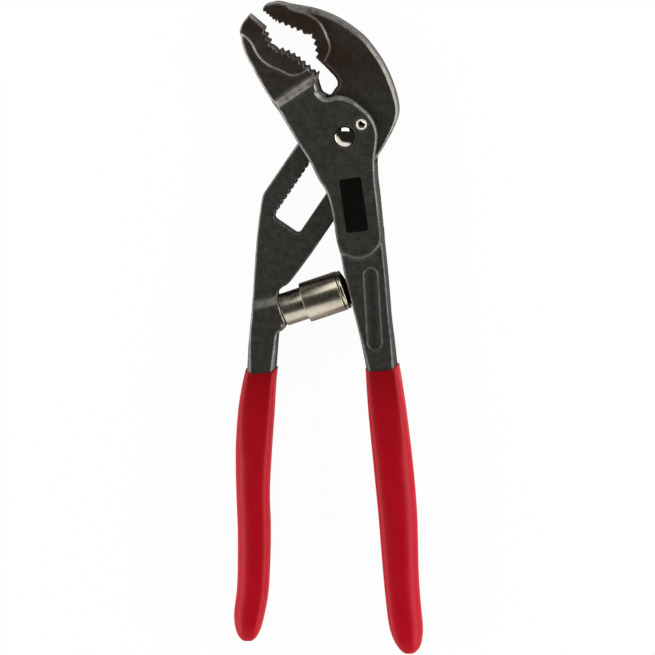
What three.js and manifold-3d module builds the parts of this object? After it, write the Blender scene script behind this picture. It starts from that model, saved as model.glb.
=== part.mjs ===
// Self-adjusting pliers, lying flat with the jaws towards +Y.
// Millimetres, +Z up. The origin is the pivot axis on the plane that the tool rests on.
import * as THREE from 'three';
import { mergeVertices } from 'three/addons/utils/BufferGeometryUtils.js';
import Module from 'manifold-3d';

const wasm = await Module();
wasm.setup();

// Thicknesses, all centred on the tool's middle plane.
const JOINT_THICKNESS = 15.5;
const BLADE_THICKNESS = 8;
const PAD_RISE = 1;
const SHANK_THICKNESS = 13;
const TANG_THICKNESS = 9;
const GRIP_WALL = 2;

// Clearance between pieces that touch or run on each other.
const CLEARANCE = 0.3;

// Bevels of the forged edges.
const CHEEK_BEVEL = 1.2;
const BLADE_BEVEL = 0.9;
const PAD_BEVEL = 0.5;
const SHANK_BEVEL = 2;
const TANG_BEVEL = 1.5;

// How far the back lever turns in the joint, in degrees.
const SQUEEZE_TURN = 3;
const SPREAD_TURN = 15;
const TURN_MARGIN = 1;

// The arm's slot runs through the pivot at this angle to +X, in degrees.
const SLOT_ANGLE = 56;
const ARM_LEFT = 13.4;
const ARM_RIGHT = 14.5;
const ARM_LEFT_START = 12.4;
const ARM_LEFT_END = 35.5;
const ARM_RIGHT_START = 1.5;
const ARM_RIGHT_END = 45;
const SLOT_LEFT = 5.2;
const SLOT_RIGHT = 6.25;
const SLOT_LOWER_END = 40.5;
const SLOT_UPPER_CENTRE = 5.2;
const RACK_PITCH = 2.45;
const RACK_DEPTH = 1.1;
const RACK_TEETH = 15;
const RACK_MARGIN = 1.6;

// Joint fittings.
const BOLT_RADIUS = 2.5;
const BOLT_HEAD_RADIUS = 3.6;
const BOLT_HEAD_SEAT = 1.4;
const BOLT_HEAD_RISE = 1.1;
const NUT_RADIUS = 4.6;
const NUT_HEIGHT = 1.8;
const BUSH_WALL = 0.6;
const BLOCK_LOWER_REACH = 10.5;
const BLOCK_UPPER_REACH = 9.6;
const BLOCK_TOOTH_DEPTH = 0.6;
const BLOCK_SHOULDER_DROP = 0.8;
const BLOCK_FINGER_SLOPE = 1.2;
const LEAF_THICKNESS = 0.5;
const LEAF_LENGTH = 12;
const LEAF_HEIGHT = 5;
const LEAF_END_INSET = 1;
const STOP_PIN_AT = [6.3, 4.8];
const STOP_PIN_RADIUS = 2.05;
const STOP_PIN_BORE = 1.1;
const STOP_PIN_INSET = 0.2;

// Bare plate let into the front cheek.
const PLATE_CENTRE = [3.4, -26];
const PLATE_WIDTH = 8.2;
const PLATE_LENGTH = 20.3;
const PLATE_LEAN = 8;
const PLATE_DEPTH = 0.8;

// Long round-ended recess in the front shank.
const RECESS_TOP = [9.7, -53];
const RECESS_FOOT = [11.3, -78.8];
const RECESS_RADIUS = 2.8;
const RECESS_DEPTH = 1.2;

// Telescoping strut: its axis leaves the back lever at STRUT_FOOT and rises at STRUT_ANGLE.
// Places along the axis are counted from the foot.
const STRUT_FOOT = [-24, -67.5];
const STRUT_ANGLE = 19.3;
const STRUT_STROKE = 3.4;
const TUBE_RADIUS = 6.25;
const TUBE_WALL = 1.05;
const TUBE_FLOOR = 1.5;
const TUBE_LENGTH = 15;
const SPIGOT_RADIUS = 3.5;
const SPIGOT_LENGTH = 4.6;
const BOSS_RADIUS = 6.9;
const BOSS_LENGTH = 8;
const CROSS_PIN_RADIUS = 1;
const CROSS_PIN_INSET = 0.6;
const CROSS_PIN_COVER = 2.4;
const SLEEVE_START = 8.8;
const SLEEVE_END = 23.3;
const SLEEVE_FLOOR = 1.5;
const SLEEVE_WALL = 1;
const RING_LENGTH = 1.3;
const RING_INSET = 0.25;
const CAP_RADIUS = 6.2;
const CAP_DOME = 1;
const CAP_STEM_RADIUS = 3;
const CLIP_WALL = 1.4;
const CLIP_LENGTH = 1.1;
const SEAT_LENGTH = 1;
const SEAT_RADIUS = 4.9;
const ROD_RADIUS = 1.8;
const ROD_HEAD_GAP = 0.4;
const ROD_HEAD_LENGTH = 1.2;
const SPRING_RADIUS = 3.6;
const SPRING_WIRE = 0.5;
const SPRING_CURLS = 6;
const SPRING_STEPS = 8;
const SPRING_SIDES = 5;

// Jaw teeth.
const TOOTH_PITCH = 2.5;
const FINE_PITCH = 1.5;
const TOOTH_DEPTH = 1;
const FINE_DEPTH = 0.6;
const GROOVE_SHARE = 0.46;
const GROOVE_LIFT = 0.3;

const ROUND_SIDES = 24;
const DOME_STEPS = 3;
const BEVEL_WAYS = 8;
const CUT_MARGIN = 1;

const mid = JOINT_THICKNESS / 2;
const slotTurn = THREE.MathUtils.degToRad(SLOT_ANGLE);
const strutTurn = THREE.MathUtils.degToRad(STRUT_ANGLE);
const slotWay = new THREE.Vector2(Math.cos(slotTurn), Math.sin(slotTurn));
const slotSide = new THREE.Vector2(Math.sin(slotTurn), -Math.cos(slotTurn));

// Materials.
const forged = () => new THREE.MeshStandardMaterial({ color: 0x2d2c29, roughness: 0.55, metalness: 0.7 });
const nickel = () => new THREE.MeshStandardMaterial({ color: 0xc8bea5, roughness: 0.22, metalness: 1 });
const polished = () => new THREE.MeshStandardMaterial({ color: 0xd0cfc8, roughness: 0.12, metalness: 1 });
const plainSteel = () => new THREE.MeshStandardMaterial({ color: 0x77756f, roughness: 0.4, metalness: 1 });
const redVinyl = () => new THREE.MeshStandardMaterial({ color: 0xb20e22, roughness: 0.38, metalness: 0 });
const blackPlate = () => new THREE.MeshStandardMaterial({ color: 0x0c0d0a, roughness: 0.6, metalness: 0.2 });
const blackPlastic = () => new THREE.MeshStandardMaterial({ color: 0x14140f, roughness: 0.5, metalness: 0 });

// Turns a closed three.js geometry into a solid that can be joined and cut.
function solid(geometry) {
  const bare = new THREE.BufferGeometry();
  bare.setAttribute('position', geometry.getAttribute('position').clone());
  if (geometry.index) bare.setIndex(geometry.index.clone());
  const merged = mergeVertices(bare, 1e-4);
  const corners = [];
  const index = merged.index.array;
  for (let i = 0; i < index.length; i += 3) {
    const [a, b, c] = [index[i], index[i + 1], index[i + 2]];
    if (a !== b && b !== c && c !== a) corners.push(a, b, c);
  }
  return new wasm.Manifold(new wasm.Mesh({
    numProp: 3,
    vertProperties: new Float32Array(merged.getAttribute('position').array),
    triVerts: new Uint32Array(corners),
  }));
}

// Makes the named mesh of one finished piece.
function piece(name, body, material) {
  const { vertProperties, triVerts } = body.getMesh();
  const geometry = new THREE.BufferGeometry();
  geometry.setAttribute('position', new THREE.BufferAttribute(new Float32Array(vertProperties), 3));
  geometry.setIndex(new THREE.BufferAttribute(new Uint32Array(triVerts), 1));
  geometry.computeVertexNormals();
  const mesh = new THREE.Mesh(geometry, material);
  mesh.name = name;
  return mesh;
}

// A flat piece of a given thickness, centred on the middle plane, with bevelled edges.
// It is what is left in common of copies whose two faces lean inwards, one copy for each way.
function plate(shape, thickness, bevel, curveSegments = 2) {
  const levels = [0, bevel, thickness - bevel, thickness].map((height) => mid - thickness / 2 + height);
  const leaning = (way) => {
    const geometry = new THREE.ExtrudeGeometry(shape, {
      depth: levels.length - 1, steps: levels.length - 1, bevelEnabled: false, curveSegments,
    });
    const place = geometry.getAttribute('position');
    for (let i = 0; i < place.count; i += 1) {
      const level = Math.round(place.getZ(i));
      const lean = level === 0 || level === levels.length - 1 ? bevel : 0;
      place.setX(i, place.getX(i) + lean * Math.cos(way));
      place.setY(i, place.getY(i) + lean * Math.sin(way));
      place.setZ(i, levels[level]);
    }
    return solid(geometry);
  };
  const waysRound = Array.from({ length: BEVEL_WAYS }, (_, i) => (i + 0.5) * 2 * Math.PI / BEVEL_WAYS);
  const copies = waysRound.map(leaning);
  return copies.reduce((common, copy) => common.intersect(copy));
}

// A flat cutter or piece between two heights.
function slab(shape, low, high, curveSegments = 8) {
  const geometry = new THREE.ExtrudeGeometry(shape, { depth: high - low, bevelEnabled: false, curveSegments });
  geometry.translate(0, 0, low);
  return solid(geometry);
}

const throughCut = (shape) => slab(shape, -CUT_MARGIN, JOINT_THICKNESS + CUT_MARGIN);
const vectors = (points) => points.map(([x, y]) => new THREE.Vector2(x, y));

// A closed outline made of smooth runs: each run is a spline through its points.
function outline(...runs) {
  const shape = new THREE.Shape();
  shape.moveTo(...runs[0][0]);
  for (const run of runs) {
    const [first, ...rest] = run;
    if (shape.currentPoint.distanceTo(new THREE.Vector2(...first)) > 1e-6) shape.lineTo(...first);
    if (rest.length === 1) shape.lineTo(...rest[0]);
    if (rest.length > 1) shape.splineThru(vectors(rest));
  }
  return shape;
}

const polygon = (points) => new THREE.Shape(vectors(points));

// A point of the slot's own directions: along it from the pivot, and across it to the right.
function inSlot(along, across) {
  return [
    along * slotWay.x + across * slotSide.x,
    along * slotWay.y + across * slotSide.y,
  ];
}

// A turned piece: its profile lists radius and place along the axis, with the outside running forwards.
function turned(profile, sides = ROUND_SIDES) {
  const onAxis = profile[0][0] === 0;
  const points = vectors(onAxis ? profile : [...profile, profile[0]]);
  return new THREE.LatheGeometry(points, sides);
}

const upright = (geometry, [x, y] = [0, 0], z = 0) => solid(geometry.rotateX(Math.PI / 2).translate(x, y, z));

function alongStrut(geometry) {
  return solid(geometry.rotateZ(strutTurn - Math.PI / 2).translate(STRUT_FOOT[0], STRUT_FOOT[1], mid));
}

const rod = (radius, start, end) => turned([[0, start], [radius, start], [radius, end], [0, end]]);
const ring = (inner, outer, start, end) => turned([
  [outer, start], [outer, end], [inner, end], [inner, start],
]);

// The last points of a turned profile that ends in a low dome.
const dome = (radius, base, rise) => Array.from({ length: DOME_STEPS + 1 }, (_, i) => {
  const turn = i / DOME_STEPS * Math.PI / 2;
  return [i === DOME_STEPS ? 0 : radius * Math.cos(turn), base + rise * Math.sin(turn)];
});

// V-shaped grooves between teeth, set out at an even pitch along a jaw face.
// The grooves lie on the right-hand side of the path, where the metal is.
function toothGrooves(path, pitch, depth) {
  const curve = new THREE.SplineCurve(vectors(path));
  const length = curve.getLength();
  const count = Math.floor(length / pitch);
  const start = (length - count * pitch) / 2;
  const cutters = [];
  for (let i = 0; i < count; i += 1) {
    const place = (start + (i + 0.5) * pitch) / length;
    const point = curve.getPointAt(place);
    const way = curve.getTangentAt(place);
    const inward = new THREE.Vector2(way.y, -way.x);
    const half = pitch * GROOVE_SHARE;
    const lift = depth * GROOVE_LIFT;
    const corner = (along, inside) => [
      point.x + way.x * along + inward.x * inside,
      point.y + way.y * along + inward.y * inside,
    ];
    cutters.push(throughCut(polygon([
      corner(-half - lift, -lift),
      corner(0, depth),
      corner(half + lift, -lift),
    ].reverse())));
  }
  return cutters;
}

const cutAll = (body, cutters) => cutters.reduce((rest, cutter) => rest.subtract(cutter), body);

// A grip along its length, from its rim: place along Y, centre along X, and width.
const FRONT_GRIP = {
  stations: [
    [-88, 13.6, 12.4], [-97, 14.7, 13.1], [-108, 15.9, 14], [-127, 18.1, 14.7], [-146, 19.7, 14.3],
    [-168, 20.9, 12.9], [-181, 21.9, 12.6], [-190.7, 23.1, 11.4], [-196.4, 24, 8],
  ],
  end: [24.4, -199],
  rimSlope: 0.26,
};
const BACK_GRIP = {
  stations: [
    [-90, -32.2, 11.9], [-97, -33.4, 12.7], [-107, -34.5, 13.5], [-122, -35.3, 13.3], [-138, -35.6, 12.3],
    [-150, -35.2, 12.4], [-161, -35.2, 12.3], [-175, -35.7, 11.8], [-185.4, -37.1, 10.7], [-191.4, -37.5, 8],
  ],
  end: [-37.2, -194.1],
  rimSlope: 0.16,
};
const RIM_SLOPE_FADE = 18;
const GRIP_SQUARENESS = 3;
const GRIP_END_WIDTH = 10.5;
const GRIP_RINGS = 24;
const GRIP_SIDES = 20;
const TANG_END_STATIONS = 2;
const TANG_ROOT = 7;

const GRIP_THICKNESS = TANG_THICKNESS + 2 * (GRIP_WALL + CLEARANCE);

// A closed skin over rings of points, with a middle point closing each end.
function loft(rings, firstMiddle, lastMiddle) {
  const sides = rings[0].length;
  const points = [...rings.flat(), firstMiddle, lastMiddle];
  const first = points.length - 2;
  const last = points.length - 1;
  const corners = [];
  for (let j = 0; j < sides; j += 1) {
    const next = (j + 1) % sides;
    for (let i = 0; i + 1 < rings.length; i += 1) {
      const [a, b, c, d] = [i * sides + j, i * sides + next, (i + 1) * sides + next, (i + 1) * sides + j];
      corners.push(a, b, c, a, c, d);
    }
    const tail = (rings.length - 1) * sides;
    corners.push(next, j, first, tail + j, tail + next, last);
  }
  const geometry = new THREE.BufferGeometry();
  geometry.setAttribute('position', new THREE.Float32BufferAttribute(points.flat(), 3));
  geometry.setIndex(corners);
  return solid(geometry);
}

// The outside of a grip: squarish rounded sections carried along its stations to a rounded end.
function gripSkin({ stations, end, rimSlope }) {
  const along = new THREE.CatmullRomCurve3(stations.map((station) => new THREE.Vector3(...station)));
  const rimY = stations[0][0];
  const bulge = (value) => Math.sign(value) * Math.abs(value) ** (2 / GRIP_SQUARENESS);
  const ringAt = (share) => {
    const { x: y, y: centre, z: width } = along.getPoint(share);
    const thickness = GRIP_THICKNESS * Math.min(1, Math.sqrt(width / GRIP_END_WIDTH));
    const slope = rimSlope * Math.max(0, 1 - (rimY - y) / RIM_SLOPE_FADE);
    return Array.from({ length: GRIP_SIDES }, (_, j) => {
      const turn = (j + 0.5) * 2 * Math.PI / GRIP_SIDES;
      const across = bulge(Math.cos(turn)) * width / 2;
      return [centre + across, y + slope * across, mid + bulge(Math.sin(turn)) * thickness / 2];
    });
  };
  const rings = Array.from({ length: GRIP_RINGS + 1 }, (_, i) => ringAt(i / GRIP_RINGS));
  return loft(rings, [stations[0][1], rimY, mid], [...end, mid]);
}

// Outline of the tang inside a grip: it starts above the grip's rim, inside the shank.
function tangOutline({ stations }, inset, endGap) {
  const inside = stations.slice(0, stations.length - TANG_END_STATIONS);
  const [rimY, rimX, rimWidth] = inside[0];
  const [endY, endX, endWidth] = inside.pop();
  const side = (sign) => [
    [rimX + sign * (rimWidth / 2 - inset), rimY + TANG_ROOT],
    ...inside.map(([y, x, width]) => [x + sign * (width / 2 - inset), y]),
    [endX + sign * (endWidth / 2 - inset), endY - endGap],
  ];
  return outline(side(-1), side(1).reverse());
}

// Where the shank ends on one side, just clear of the grip's rim.
function rimCorner({ stations, rimSlope }, sign) {
  const [rimY, centre, width] = stations[0];
  return [centre + sign * width / 2, rimY + sign * rimSlope * width / 2 + CLEARANCE];
}

const grip = (layout) => gripSkin(layout)
  .subtract(plate(tangOutline(layout, GRIP_WALL, CLEARANCE), TANG_THICKNESS + 2 * CLEARANCE, TANG_BEVEL));

const tang = (layout) => plate(tangOutline(layout, GRIP_WALL + CLEARANCE, 0), TANG_THICKNESS, TANG_BEVEL);

// Front lever.
const LOWER_JAW_BACK = [
  [-36.4, 46.2], [-39, 42.8], [-40.1, 38.9], [-38.2, 31.1], [-35.5, 25.9], [-31.9, 19.3], [-28.3, 13.5],
  [-24.5, 7.4],
];
const LOWER_TIP_FACE = [[-36.4, 46.2], [-30.6, 41.4]];
const LOWER_STEEP_FACE = [[-30.6, 41.4], [-27.1, 33.9]];
const LOWER_LONG_FACE = [[-27.1, 33.9], [-24.1, 33.3], [-19.2, 31], [-15.1, 28], [-9.9, 23.7]];
const JAW_ROOT = [[-24.5, 7.4], [-4.6, 7.4], [-4.6, 17.3]];
const THROAT_WALL = [[-9.9, 23.7], [-9.8, 21.4], [-9.4, 19.4], [-8.1, 18], [-6.2, 17.1], [-4.6, 17.3]];
const LOWER_PAD_LINE = [
  [-40.1, 38.9], [-37.6, 36.9], [-35.7, 34.7], [-34, 31.3], [-31.6, 28.3], [-28.4, 26.1], [-25, 24.7],
  [-21.9, 23.2], [-19.5, 22.8], [-16.5, 23.7], [-14.6, 25.1], [-13.2, 26.4],
];
const CHEEK_TOP = [[-25.4, 10.3], [-12.2, 19.6]];
const CHEEK_SLOPE_RUN = 2.9;
const CHEEK_SLOPE_ROOT = 3;
const CHEEK_NECK = [[-12.2, 19.6], [-9.5, 14.9], [-6.8, 14.8], [-3, 15.7]];
const CHEEK_SHOULDER = [
  [-3, 15.7], [2.3, 14.2], [7.9, 9.8], [10.1, 7.1], [11.5, 4.4], [12.3, 1], [12.1, -2.5], [11.4, -9],
  [11.6, -16.4], [12.5, -24.2], [13.6, -36],
];
const CHEEK_FOOT = [
  [13.6, -36], [13.4, -40], [10.6, -43.9], [7.6, -45.6], [4.5, -46.3], [0.6, -45.2], [-1.7, -43.9],
  [-3, -40.5],
];
const CHEEK_BACK = [
  [-3, -40.5], [-5, -28.9], [-7.3, -21], [-10.1, -16.6], [-13.5, -9.8], [-18.1, -2.2], [-25.4, 10.3],
];
const FRONT_SHANK_BACK = [
  [-3.7, -36], [-1.3, -47.9], [-0.5, -52.5], [2.7, -65.2], [5.6, -76.9], rimCorner(FRONT_GRIP, -1),
];
const FRONT_SHANK_SIDE = [
  rimCorner(FRONT_GRIP, 1), [18.1, -80], [16.9, -70.3], [15.7, -55.6], [14.2, -40.9], [13.5, -36],
];

// The space that the arm needs between the cheeks over its whole turn.
// Each side is the arm's edge line at both ends of the turn, up to where the two lines cross.
function jointWindow() {
  const reach = SLOT_LOWER_END + ARM_LEFT;
  const squeeze = slotTurn + THREE.MathUtils.degToRad(SQUEEZE_TURN + TURN_MARGIN);
  const spread = slotTurn - THREE.MathUtils.degToRad(SPREAD_TURN + TURN_MARGIN);
  const onEdge = (angle, along, across) => [
    along * Math.cos(angle) + across * Math.sin(angle),
    along * Math.sin(angle) - across * Math.cos(angle),
  ];
  const left = -(ARM_LEFT + CLEARANCE);
  const right = ARM_RIGHT + CLEARANCE;
  const middle = (squeeze + spread) / 2;
  const crossing = 1 / Math.cos((squeeze - spread) / 2);
  return polygon([
    onEdge(squeeze, -reach, right), onEdge(middle, 0, right * crossing), onEdge(spread, reach, right),
    onEdge(squeeze, reach, left), onEdge(middle, 0, left * crossing), onEdge(spread, -reach, left),
  ]);
}

// The slope from the cheeks down to the thinner jaw.
function cheekSlope() {
  const [low, high] = vectors(CHEEK_TOP);
  const way = high.clone().sub(low).normalize();
  const half = JOINT_THICKNESS / 2;
  const bladeHalf = BLADE_THICKNESS / 2;
  const profile = polygon([
    [-CHEEK_SLOPE_ROOT, -half], [0, -half], [CHEEK_SLOPE_RUN, -bladeHalf],
    [CHEEK_SLOPE_RUN, bladeHalf], [0, half], [-CHEEK_SLOPE_ROOT, half],
  ]);
  const length = low.distanceTo(high);
  const geometry = new THREE.ExtrudeGeometry(profile, { depth: length, bevelEnabled: false });
  const across = new THREE.Vector3(-way.y, way.x, 0);
  const up = new THREE.Vector3(0, 0, 1);
  const frame = new THREE.Matrix4().makeBasis(across, up, across.clone().cross(up));
  const origin = across.clone().cross(up).dot(new THREE.Vector3(way.x, way.y, 0)) > 0 ? low : high;
  frame.setPosition(origin.x, origin.y, mid);
  return solid(geometry.applyMatrix4(frame));
}

// A round-ended slot shape between two points.
function stadium([x0, y0], [x1, y1], radius) {
  const angle = Math.atan2(y1 - y0, x1 - x0);
  const shape = new THREE.Shape();
  shape.absarc(x1, y1, radius, angle - Math.PI / 2, angle + Math.PI / 2);
  shape.absarc(x0, y0, radius, angle + Math.PI / 2, angle + 1.5 * Math.PI);
  return shape;
}

function turnedRectangle([x, y], width, length, lean) {
  const turn = THREE.MathUtils.degToRad(lean);
  const centre = new THREE.Vector2(x, y);
  const corners = [[-1, -1], [1, -1], [1, 1], [-1, 1]].map(([i, j]) => (
    new THREE.Vector2(i * width / 2, j * length / 2).rotateAround(new THREE.Vector2(), turn).add(centre)
  ));
  return new THREE.Shape(corners);
}

const circle = ([x, y], radius) => new THREE.Shape().absarc(x, y, radius, 0, 2 * Math.PI);

function frontLever() {
  const jawShape = outline(
    LOWER_JAW_BACK,
    JAW_ROOT.slice(0, 2),
    JAW_ROOT.slice(1),
    THROAT_WALL.slice().reverse(),
    LOWER_LONG_FACE.slice().reverse(),
    LOWER_STEEP_FACE.slice().reverse(),
    LOWER_TIP_FACE.slice().reverse(),
  );
  const padShape = outline(
    LOWER_PAD_LINE,
    [LOWER_PAD_LINE.at(-1), ...LOWER_LONG_FACE.slice(0, -1).reverse()],
    LOWER_STEEP_FACE.slice().reverse(),
    LOWER_TIP_FACE.slice().reverse(),
    LOWER_JAW_BACK.slice(0, 3),
  );
  const cheekShape = outline(CHEEK_TOP, CHEEK_NECK, CHEEK_SHOULDER, CHEEK_FOOT, CHEEK_BACK);
  const shankShape = outline(FRONT_SHANK_BACK, FRONT_SHANK_SIDE);
  const slope = cheekSlope().intersect(throughCut(jawShape));
  const forging = plate(jawShape, BLADE_THICKNESS, BLADE_BEVEL)
    .add(plate(padShape, BLADE_THICKNESS + 2 * PAD_RISE, PAD_BEVEL))
    .add(plate(cheekShape, JOINT_THICKNESS, CHEEK_BEVEL))
    .add(slope)
    .add(plate(shankShape, SHANK_THICKNESS, SHANK_BEVEL))
    .add(tang(FRONT_GRIP));
  const windowHeight = BLADE_THICKNESS + 2 * CLEARANCE;
  const faceHeight = mid + SHANK_THICKNESS / 2;
  const recess = stadium(RECESS_FOOT, RECESS_TOP, RECESS_RADIUS);
  return cutAll(forging, [
    slab(jointWindow(), mid - windowHeight / 2, mid + windowHeight / 2),
    throughCut(circle([0, 0], BOLT_RADIUS + CLEARANCE)),
    slab(
      circle([0, 0], BOLT_HEAD_RADIUS + CLEARANCE),
      JOINT_THICKNESS - BOLT_HEAD_SEAT,
      JOINT_THICKNESS + CUT_MARGIN,
    ),
    slab(circle([0, 0], NUT_RADIUS + CLEARANCE), -CUT_MARGIN, NUT_HEIGHT + CLEARANCE),
    throughCut(circle(STOP_PIN_AT, STOP_PIN_RADIUS + CLEARANCE)),
    slab(
      turnedRectangle(PLATE_CENTRE, PLATE_WIDTH + 2 * CLEARANCE, PLATE_LENGTH + 2 * CLEARANCE, PLATE_LEAN),
      JOINT_THICKNESS - PLATE_DEPTH,
      JOINT_THICKNESS + CUT_MARGIN,
    ),
    slab(recess, faceHeight - RECESS_DEPTH, JOINT_THICKNESS + CUT_MARGIN),
    slab(recess, -CUT_MARGIN, mid - SHANK_THICKNESS / 2 + RECESS_DEPTH),
    ...toothGrooves(LOWER_STEEP_FACE, TOOTH_PITCH, TOOTH_DEPTH),
    ...toothGrooves(LOWER_LONG_FACE, TOOTH_PITCH, TOOTH_DEPTH),
  ]);
}

// Back lever.
const UPPER_JAW_BACK = [
  [-31.9, 47.4], [-30.7, 49.2], [-28.8, 49.8], [-26.1, 50.3], [-18.4, 49.1], [-12.3, 48], [-6.3, 46],
  [-1, 43.3], [3.9, 39.9], [8.2, 36], [14.3, 27.4], [18.4, 17.9], [20, 9.9], [18.6, 4], [15, -3.1],
  inSlot(-ARM_RIGHT_START, ARM_RIGHT),
];
const UPPER_TIP_FACE = [[-31.9, 47.4], [-26.6, 43.4]];
const UPPER_LONG_FACE = [[-26.6, 43.4], [-15.6, 39]];
const UPPER_NOTCH = [[-15.6, 39], [-13.6, 39]];
const UPPER_STEEP_FACE = [[-13.6, 39], [-12.3, 36.2], [-10.9, 29.8]];
const UPPER_THROAT = [
  [-10.9, 29.8], [-7.8, 26.6], [-5.3, 23.8], [-4, 22.3], [-3.3, 20.4], [-3.4, 18.7],
  inSlot(ARM_LEFT_START, -ARM_LEFT),
];
const UPPER_PAD_LINE = [
  [-22.4, 49.6], [-21.2, 48.4], [-19, 47.6], [-15.8, 46.8], [-12.9, 45.5], [-10, 43.2], [-8.3, 40.6],
  [-6.9, 37.4], [-5.9, 34], [-6.4, 31.3], [-8.6, 27.6],
];
const ARM_BACK = [
  inSlot(-ARM_LEFT_END, -ARM_LEFT), [-32, -25.6], [-33.7, -40.2], [-35.2, -62.2], [-35.6, -70],
];
const ARM_SIDE = [[-27, -70], [-26.4, -62], [-24.6, -58.8], [-21.2, -56.2], inSlot(-ARM_RIGHT_END, ARM_RIGHT)];
const BACK_SHANK_SIDE = [
  rimCorner(BACK_GRIP, 1), [-25.9, -79], [-25.4, -74.5], [-25.6, -68], [-26.2, -61.9],
];
const BACK_SHANK_BACK = [[-35.3, -64.4], [-36, -74], rimCorner(BACK_GRIP, -1)];

function backLever() {
  const bladeShape = outline(
    UPPER_JAW_BACK.slice().reverse(),
    UPPER_TIP_FACE,
    UPPER_LONG_FACE,
    UPPER_NOTCH,
    UPPER_STEEP_FACE,
    UPPER_THROAT,
    ARM_BACK,
    ARM_SIDE,
  );
  const padShape = outline(
    UPPER_PAD_LINE.slice().reverse(),
    [UPPER_PAD_LINE[0], ...UPPER_JAW_BACK.slice(0, 4).reverse()],
    UPPER_TIP_FACE,
    UPPER_LONG_FACE,
    UPPER_NOTCH,
    UPPER_STEEP_FACE,
    [UPPER_THROAT[0], UPPER_PAD_LINE.at(-1)],
  );
  const shankShape = outline(BACK_SHANK_SIDE, BACK_SHANK_BACK);
  const boss = alongStrut(rod(BOSS_RADIUS, -BOSS_LENGTH, -CLEARANCE));
  const bossTrim = slab(
    turnedRectangle(STRUT_FOOT, 4 * BOSS_RADIUS, 4 * BOSS_RADIUS, STRUT_ANGLE),
    mid - SHANK_THICKNESS / 2,
    mid + SHANK_THICKNESS / 2,
  );
  const forging = plate(bladeShape, BLADE_THICKNESS, BLADE_BEVEL)
    .add(plate(padShape, BLADE_THICKNESS + 2 * PAD_RISE, PAD_BEVEL))
    .add(plate(shankShape, SHANK_THICKNESS, SHANK_BEVEL))
    .add(boss.intersect(bossTrim))
    .add(tang(BACK_GRIP));
  return cutAll(forging, [
    throughCut(slotShape()),
    ...rackGrooves(),
    ...toothGrooves(UPPER_TIP_FACE.slice().reverse(), FINE_PITCH, FINE_DEPTH),
    ...toothGrooves(UPPER_LONG_FACE.slice().reverse(), TOOTH_PITCH, TOOTH_DEPTH),
    ...toothGrooves(UPPER_STEEP_FACE.slice().reverse(), TOOTH_PITCH, TOOTH_DEPTH),
    alongStrut(rod(SPIGOT_RADIUS + CLEARANCE, -SPIGOT_LENGTH - CLEARANCE, CUT_MARGIN)),
    crossPinHole(),
  ]);
}

function slotShape(inset = 0) {
  const upperRadius = (SLOT_LEFT + SLOT_RIGHT) / 2 - inset;
  const upperAcross = (SLOT_RIGHT - SLOT_LEFT) / 2;
  const [x, y] = inSlot(SLOT_UPPER_CENTRE, upperAcross);
  const shape = new THREE.Shape();
  shape.absarc(x, y, upperRadius, slotTurn - Math.PI / 2, slotTurn + Math.PI / 2);
  shape.lineTo(...inSlot(-SLOT_LOWER_END + inset, -SLOT_LEFT + inset));
  shape.lineTo(...inSlot(-SLOT_LOWER_END + inset, SLOT_RIGHT - inset));
  return shape;
}

// A row of V-shaped teeth along the slot: grooves that go outwards from a line across it.
function rackGrooves() {
  const first = -SLOT_LOWER_END + RACK_MARGIN;
  return Array.from({ length: RACK_TEETH }, (_, i) => {
    const centre = first + (i + 0.5) * RACK_PITCH;
    const half = RACK_PITCH * GROOVE_SHARE;
    return throughCut(polygon([
      inSlot(centre - half, -SLOT_LEFT + CLEARANCE),
      inSlot(centre + half, -SLOT_LEFT + CLEARANCE),
      inSlot(centre, -SLOT_LEFT - RACK_DEPTH),
    ]));
  });
}

// The strut's cross pin goes in from the rear face and stops short of the front one.
const crossPinTop = mid + SHANK_THICKNESS / 2 - CROSS_PIN_COVER;

function crossPinPlace() {
  const along = -SPIGOT_LENGTH / 2;
  return [STRUT_FOOT[0] + along * Math.cos(strutTurn), STRUT_FOOT[1] + along * Math.sin(strutTurn)];
}

const crossPinHole = () => slab(
  circle(crossPinPlace(), CROSS_PIN_RADIUS + CLEARANCE), -CUT_MARGIN, crossPinTop,
);

// Joint fittings.
function pivotBolt() {
  const seat = JOINT_THICKNESS - BOLT_HEAD_SEAT + CLEARANCE;
  return upright(turned([
    [0, 0], [BOLT_RADIUS, 0], [BOLT_RADIUS, seat], [BOLT_HEAD_RADIUS, seat],
    ...dome(BOLT_HEAD_RADIUS, JOINT_THICKNESS, BOLT_HEAD_RISE),
  ]));
}

const pivotNut = () => upright(ring(BOLT_RADIUS + CLEARANCE, NUT_RADIUS, 0, NUT_HEIGHT));

const bushRadius = BOLT_RADIUS + CLEARANCE + BUSH_WALL;
const bladeLow = mid - BLADE_THICKNESS / 2;
const bladeHigh = mid + BLADE_THICKNESS / 2;

const pivotBush = () => upright(ring(BOLT_RADIUS + CLEARANCE, bushRadius, bladeLow, bladeHigh));

const stopPin = () => upright(
  ring(STOP_PIN_BORE, STOP_PIN_RADIUS, STOP_PIN_INSET, JOINT_THICKNESS), STOP_PIN_AT,
);

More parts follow.
